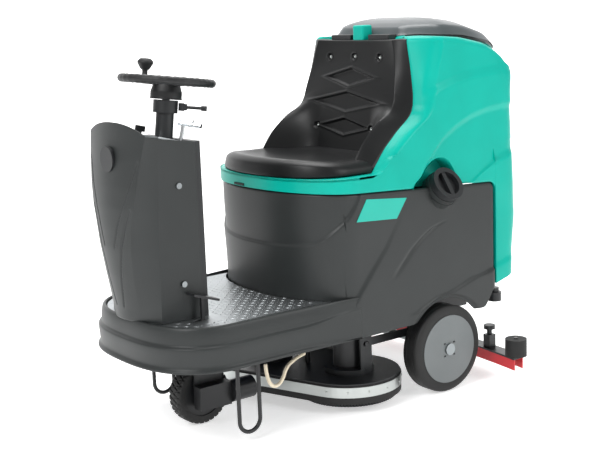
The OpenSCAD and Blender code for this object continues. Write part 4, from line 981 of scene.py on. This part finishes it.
for x, y, start, end in ((0.155, 0.0535, -88, 100), (-0.155, -0.0565, 92, 280)):
    for degrees in np.arange(start, end, 23.5):
        angle = math.radians(degrees)
        way = np.array([math.cos(angle), math.sin(angle), 0])
        side = np.array([-way[1], way[0], 0])
        spin = np.linspace(0, 2 * math.pi, 14, endpoint=False)
        grid = np.array([np.array([x, y, 0.075]) + way * (0.1757 + along) + radius * (np.cos(spin)[:,
                                                                                                   None]
                                                                                                   * side
                         + np.sin(spin)[:, None] * np.array([0, 0, 1.0])) for along,
                         radius in rivet_profile])
        rivets.append((grid, True))
link("band_rivets", surface("band_rivets", rivets, (0, 0, 0.075), 40), zinc, "brush_deck", ())

# ---- Footplate ----------------------------------------------------------------------------------
# Aluminium tread plate with small rolled bars, laid in two directions by turns.

tread = finish("rolled_aluminium_tread_plate", "#a2a6a8", 0.40, 1.2, 0.010, metal=1, mottle=0.06)
bars = []
lens = np.linspace(0, 2 * math.pi, 8, endpoint=False)
for row in range(-13, 14):
    for column in range(-1, 27):
        x, y = row * 0.0215, -0.672 + column * 0.0215
        nose_reach = 0.276 * max(0.0, 1 - max(0.0, (-0.445 - y) / 0.228) ** 2.6) ** (1 / 2.6)
        pedestal = -0.205 + 0.190 * (1 - max(0.0, 1 - (abs(x) / 0.335) ** 2.2) ** (1 / 2.2))
        cowl_near = abs(x) < 0.172 and -0.725 < y < -0.474
        pedal_near = 0.145 < x < 0.220 and -0.580 < y < -0.465
        if abs(x) > nose_reach or y > min(pedestal - 0.008, -0.128) or cowl_near or pedal_near:
            continue
        slant = math.radians(45 if (row + column) % 2 else -45)
        long_way = np.array([math.cos(slant), math.sin(slant), 0])
        short_way = np.array([-long_way[1], long_way[0], 0])
        bars.append((np.array([np.array([x, y, z]) + s * (0.0085 * np.cos(lens)[:, None] * long_way
                     + 0.0022 * np.sin(lens)[:, None] * short_way) for s,
                     z in ((1, 0.3909), (0.75, 0.3920), (0.02, 0.3923))]), True))
link("tread_bars", surface("tread_bars", bars, (0, -0.4, 0.30), 60), tread, "chassis", ())

# ---- Frame, fittings and mechanism --------------------------------------------------------------
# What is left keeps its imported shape: welded and powder-coated steel, zinc-plated and chromed parts,
# black mouldings, red blades and the bought-in motors and batteries.

fittings = {
    "frame_black": finish("powder_coated_steel_black", "#1a1b1d", 0.40, 0.9, 0.04, mottle=0.04),
    "steel_bare": finish("machined_steel", "#8f9496", 0.32, 1.0, 0.006, metal=1, stretch=(0.2, 1, 1)),
    "zinc_plate": zinc,
    "chrome_rod": finish("chromed_steel_rod", "#d9dcde", 0.12, 3.0, 0.002, metal=1, mottle=0.02),
    "tank_grey": charcoal, "cowl_grey": charcoal, "tank_teal": teal, "lid_grey": lid_grey,
    "black_plastic": black_moulded,
    "soft_grip": soft_grip, "rubber_black": finish("extruded_rubber_black", "#141414", 0.66, 1.5, 0.05,
                                                   mottle=0.12),
    "blade_red": finish("cut_polyurethane_blade_red", "#c8202a", 0.34, 1.2, 0.02, mottle=0.05),
    "tyre_black": tyre_rubber, "hub_grey": hub_grey, "tread_plate": tread,
    "dash_silver": finish("anodised_aluminium_panel", "#c6cbcd", 0.36, 0.7, 0.006, metal=0.85,
                          stretch=(1, 0.1, 0.1)),
    "label_teal": finish("printed_vinyl_label_teal", "#06b09e", 0.28, 2.0, 0.01, mottle=0.02),
    "battery_blue": finish("moulded_battery_case_blue", "#2b4a7a", 0.45, 1.2, 0.03),
    "bristle_black": tuft_black,
    "seat_vinyl": seat_vinyl, "hose_cream": clear_hose, "filter_clear": finish("moulded_san_filter_bowl",
                                                                               "#c9c5b4", 0.2, 3, 0.01),
    "controller_grey": finish("die_cast_controller_grey", "#6c7173", 0.45, 1.2, 0.03),
}
for part in frame["record"]["subparts"]:
    mesh = frame["nodes"][part["node"]].data
    mesh.materials.clear()
    mesh.materials.append(fittings["frame_black" if part["node"] == "drive_hub" else part["material_slot"]])

# ---- Studio -------------------------------------------------------------------------------------
# A pale paper sweep, with a large soft light on each side and one above.

floor_mesh = surface("paper_sweep", [np.array([[(x, y, -0.0005) for x in (-30, 30)] for y in (-30, 30)],
                                              float)], (0, 0, -5), 0)
floor = bpy.data.objects.new("paper_sweep", floor_mesh)
bpy.context.scene.collection.objects.link(floor)
paper = finish("matt_paper", "#f6f6f6", 0.9, 4, 0.02, mottle=0.004,
               **{"Emission Color": (1, 1, 1, 1), "Emission Strength": 0.50})
floor_mesh.materials.append(paper)
wall_way = Vector((-0.78, 0.60, 0)).normalized()
wall_side = Vector((wall_way.y, -wall_way.x, 0))
corners = [[wall_way * 9 + wall_side * x + Vector((0, 0, z)) for x in (-14, 14)] for z in (-0.2, 12)]
wall_mesh = surface("lit_backdrop", [np.array([[tuple(v) for v in row] for row in corners])],
                    tuple(wall_way * 20), 0)
backdrop = bpy.data.objects.new("lit_backdrop", wall_mesh)
bpy.context.scene.collection.objects.link(backdrop)
wall_mesh.materials.append(finish("backlit_white_cloth", "#f6f6f6", 0.9, 4, 0.02, mottle=0.004,
                                  **{"Emission Color": (1, 1, 1, 1), "Emission Strength": 0.95}))
world = bpy.data.worlds.new("studio")
bpy.context.scene.world = world
world.use_nodes = True
world.node_tree.nodes["Background"].inputs[0].default_value = (1, 1, 1, 1)
world.node_tree.nodes["Background"].inputs[1].default_value = 0.50
for name, place, aim, size, power in (("key", (1.2, -3.8, 3.4), (0, 0, 0.5), 1.8, 105),
                                      ("side", (4.2, 1.8, 2.6), (0, 0.2, 0.6), 1.6, 62),
                                      ("top", (-0.6, 0.3, 4.0), (0, 0, 0.5), 2.2, 110)):
    lamp = bpy.data.objects.new(name, bpy.data.lights.new(name, "AREA"))
    bpy.context.scene.collection.objects.link(lamp)
    lamp.location = place
    lamp.rotation_euler = (Vector(aim) - Vector(place)).to_track_quat("-Z", "Y").to_euler()
    lamp.data.size = size
    lamp.data.energy = power
bpy.context.scene.view_settings.view_transform = "Standard"
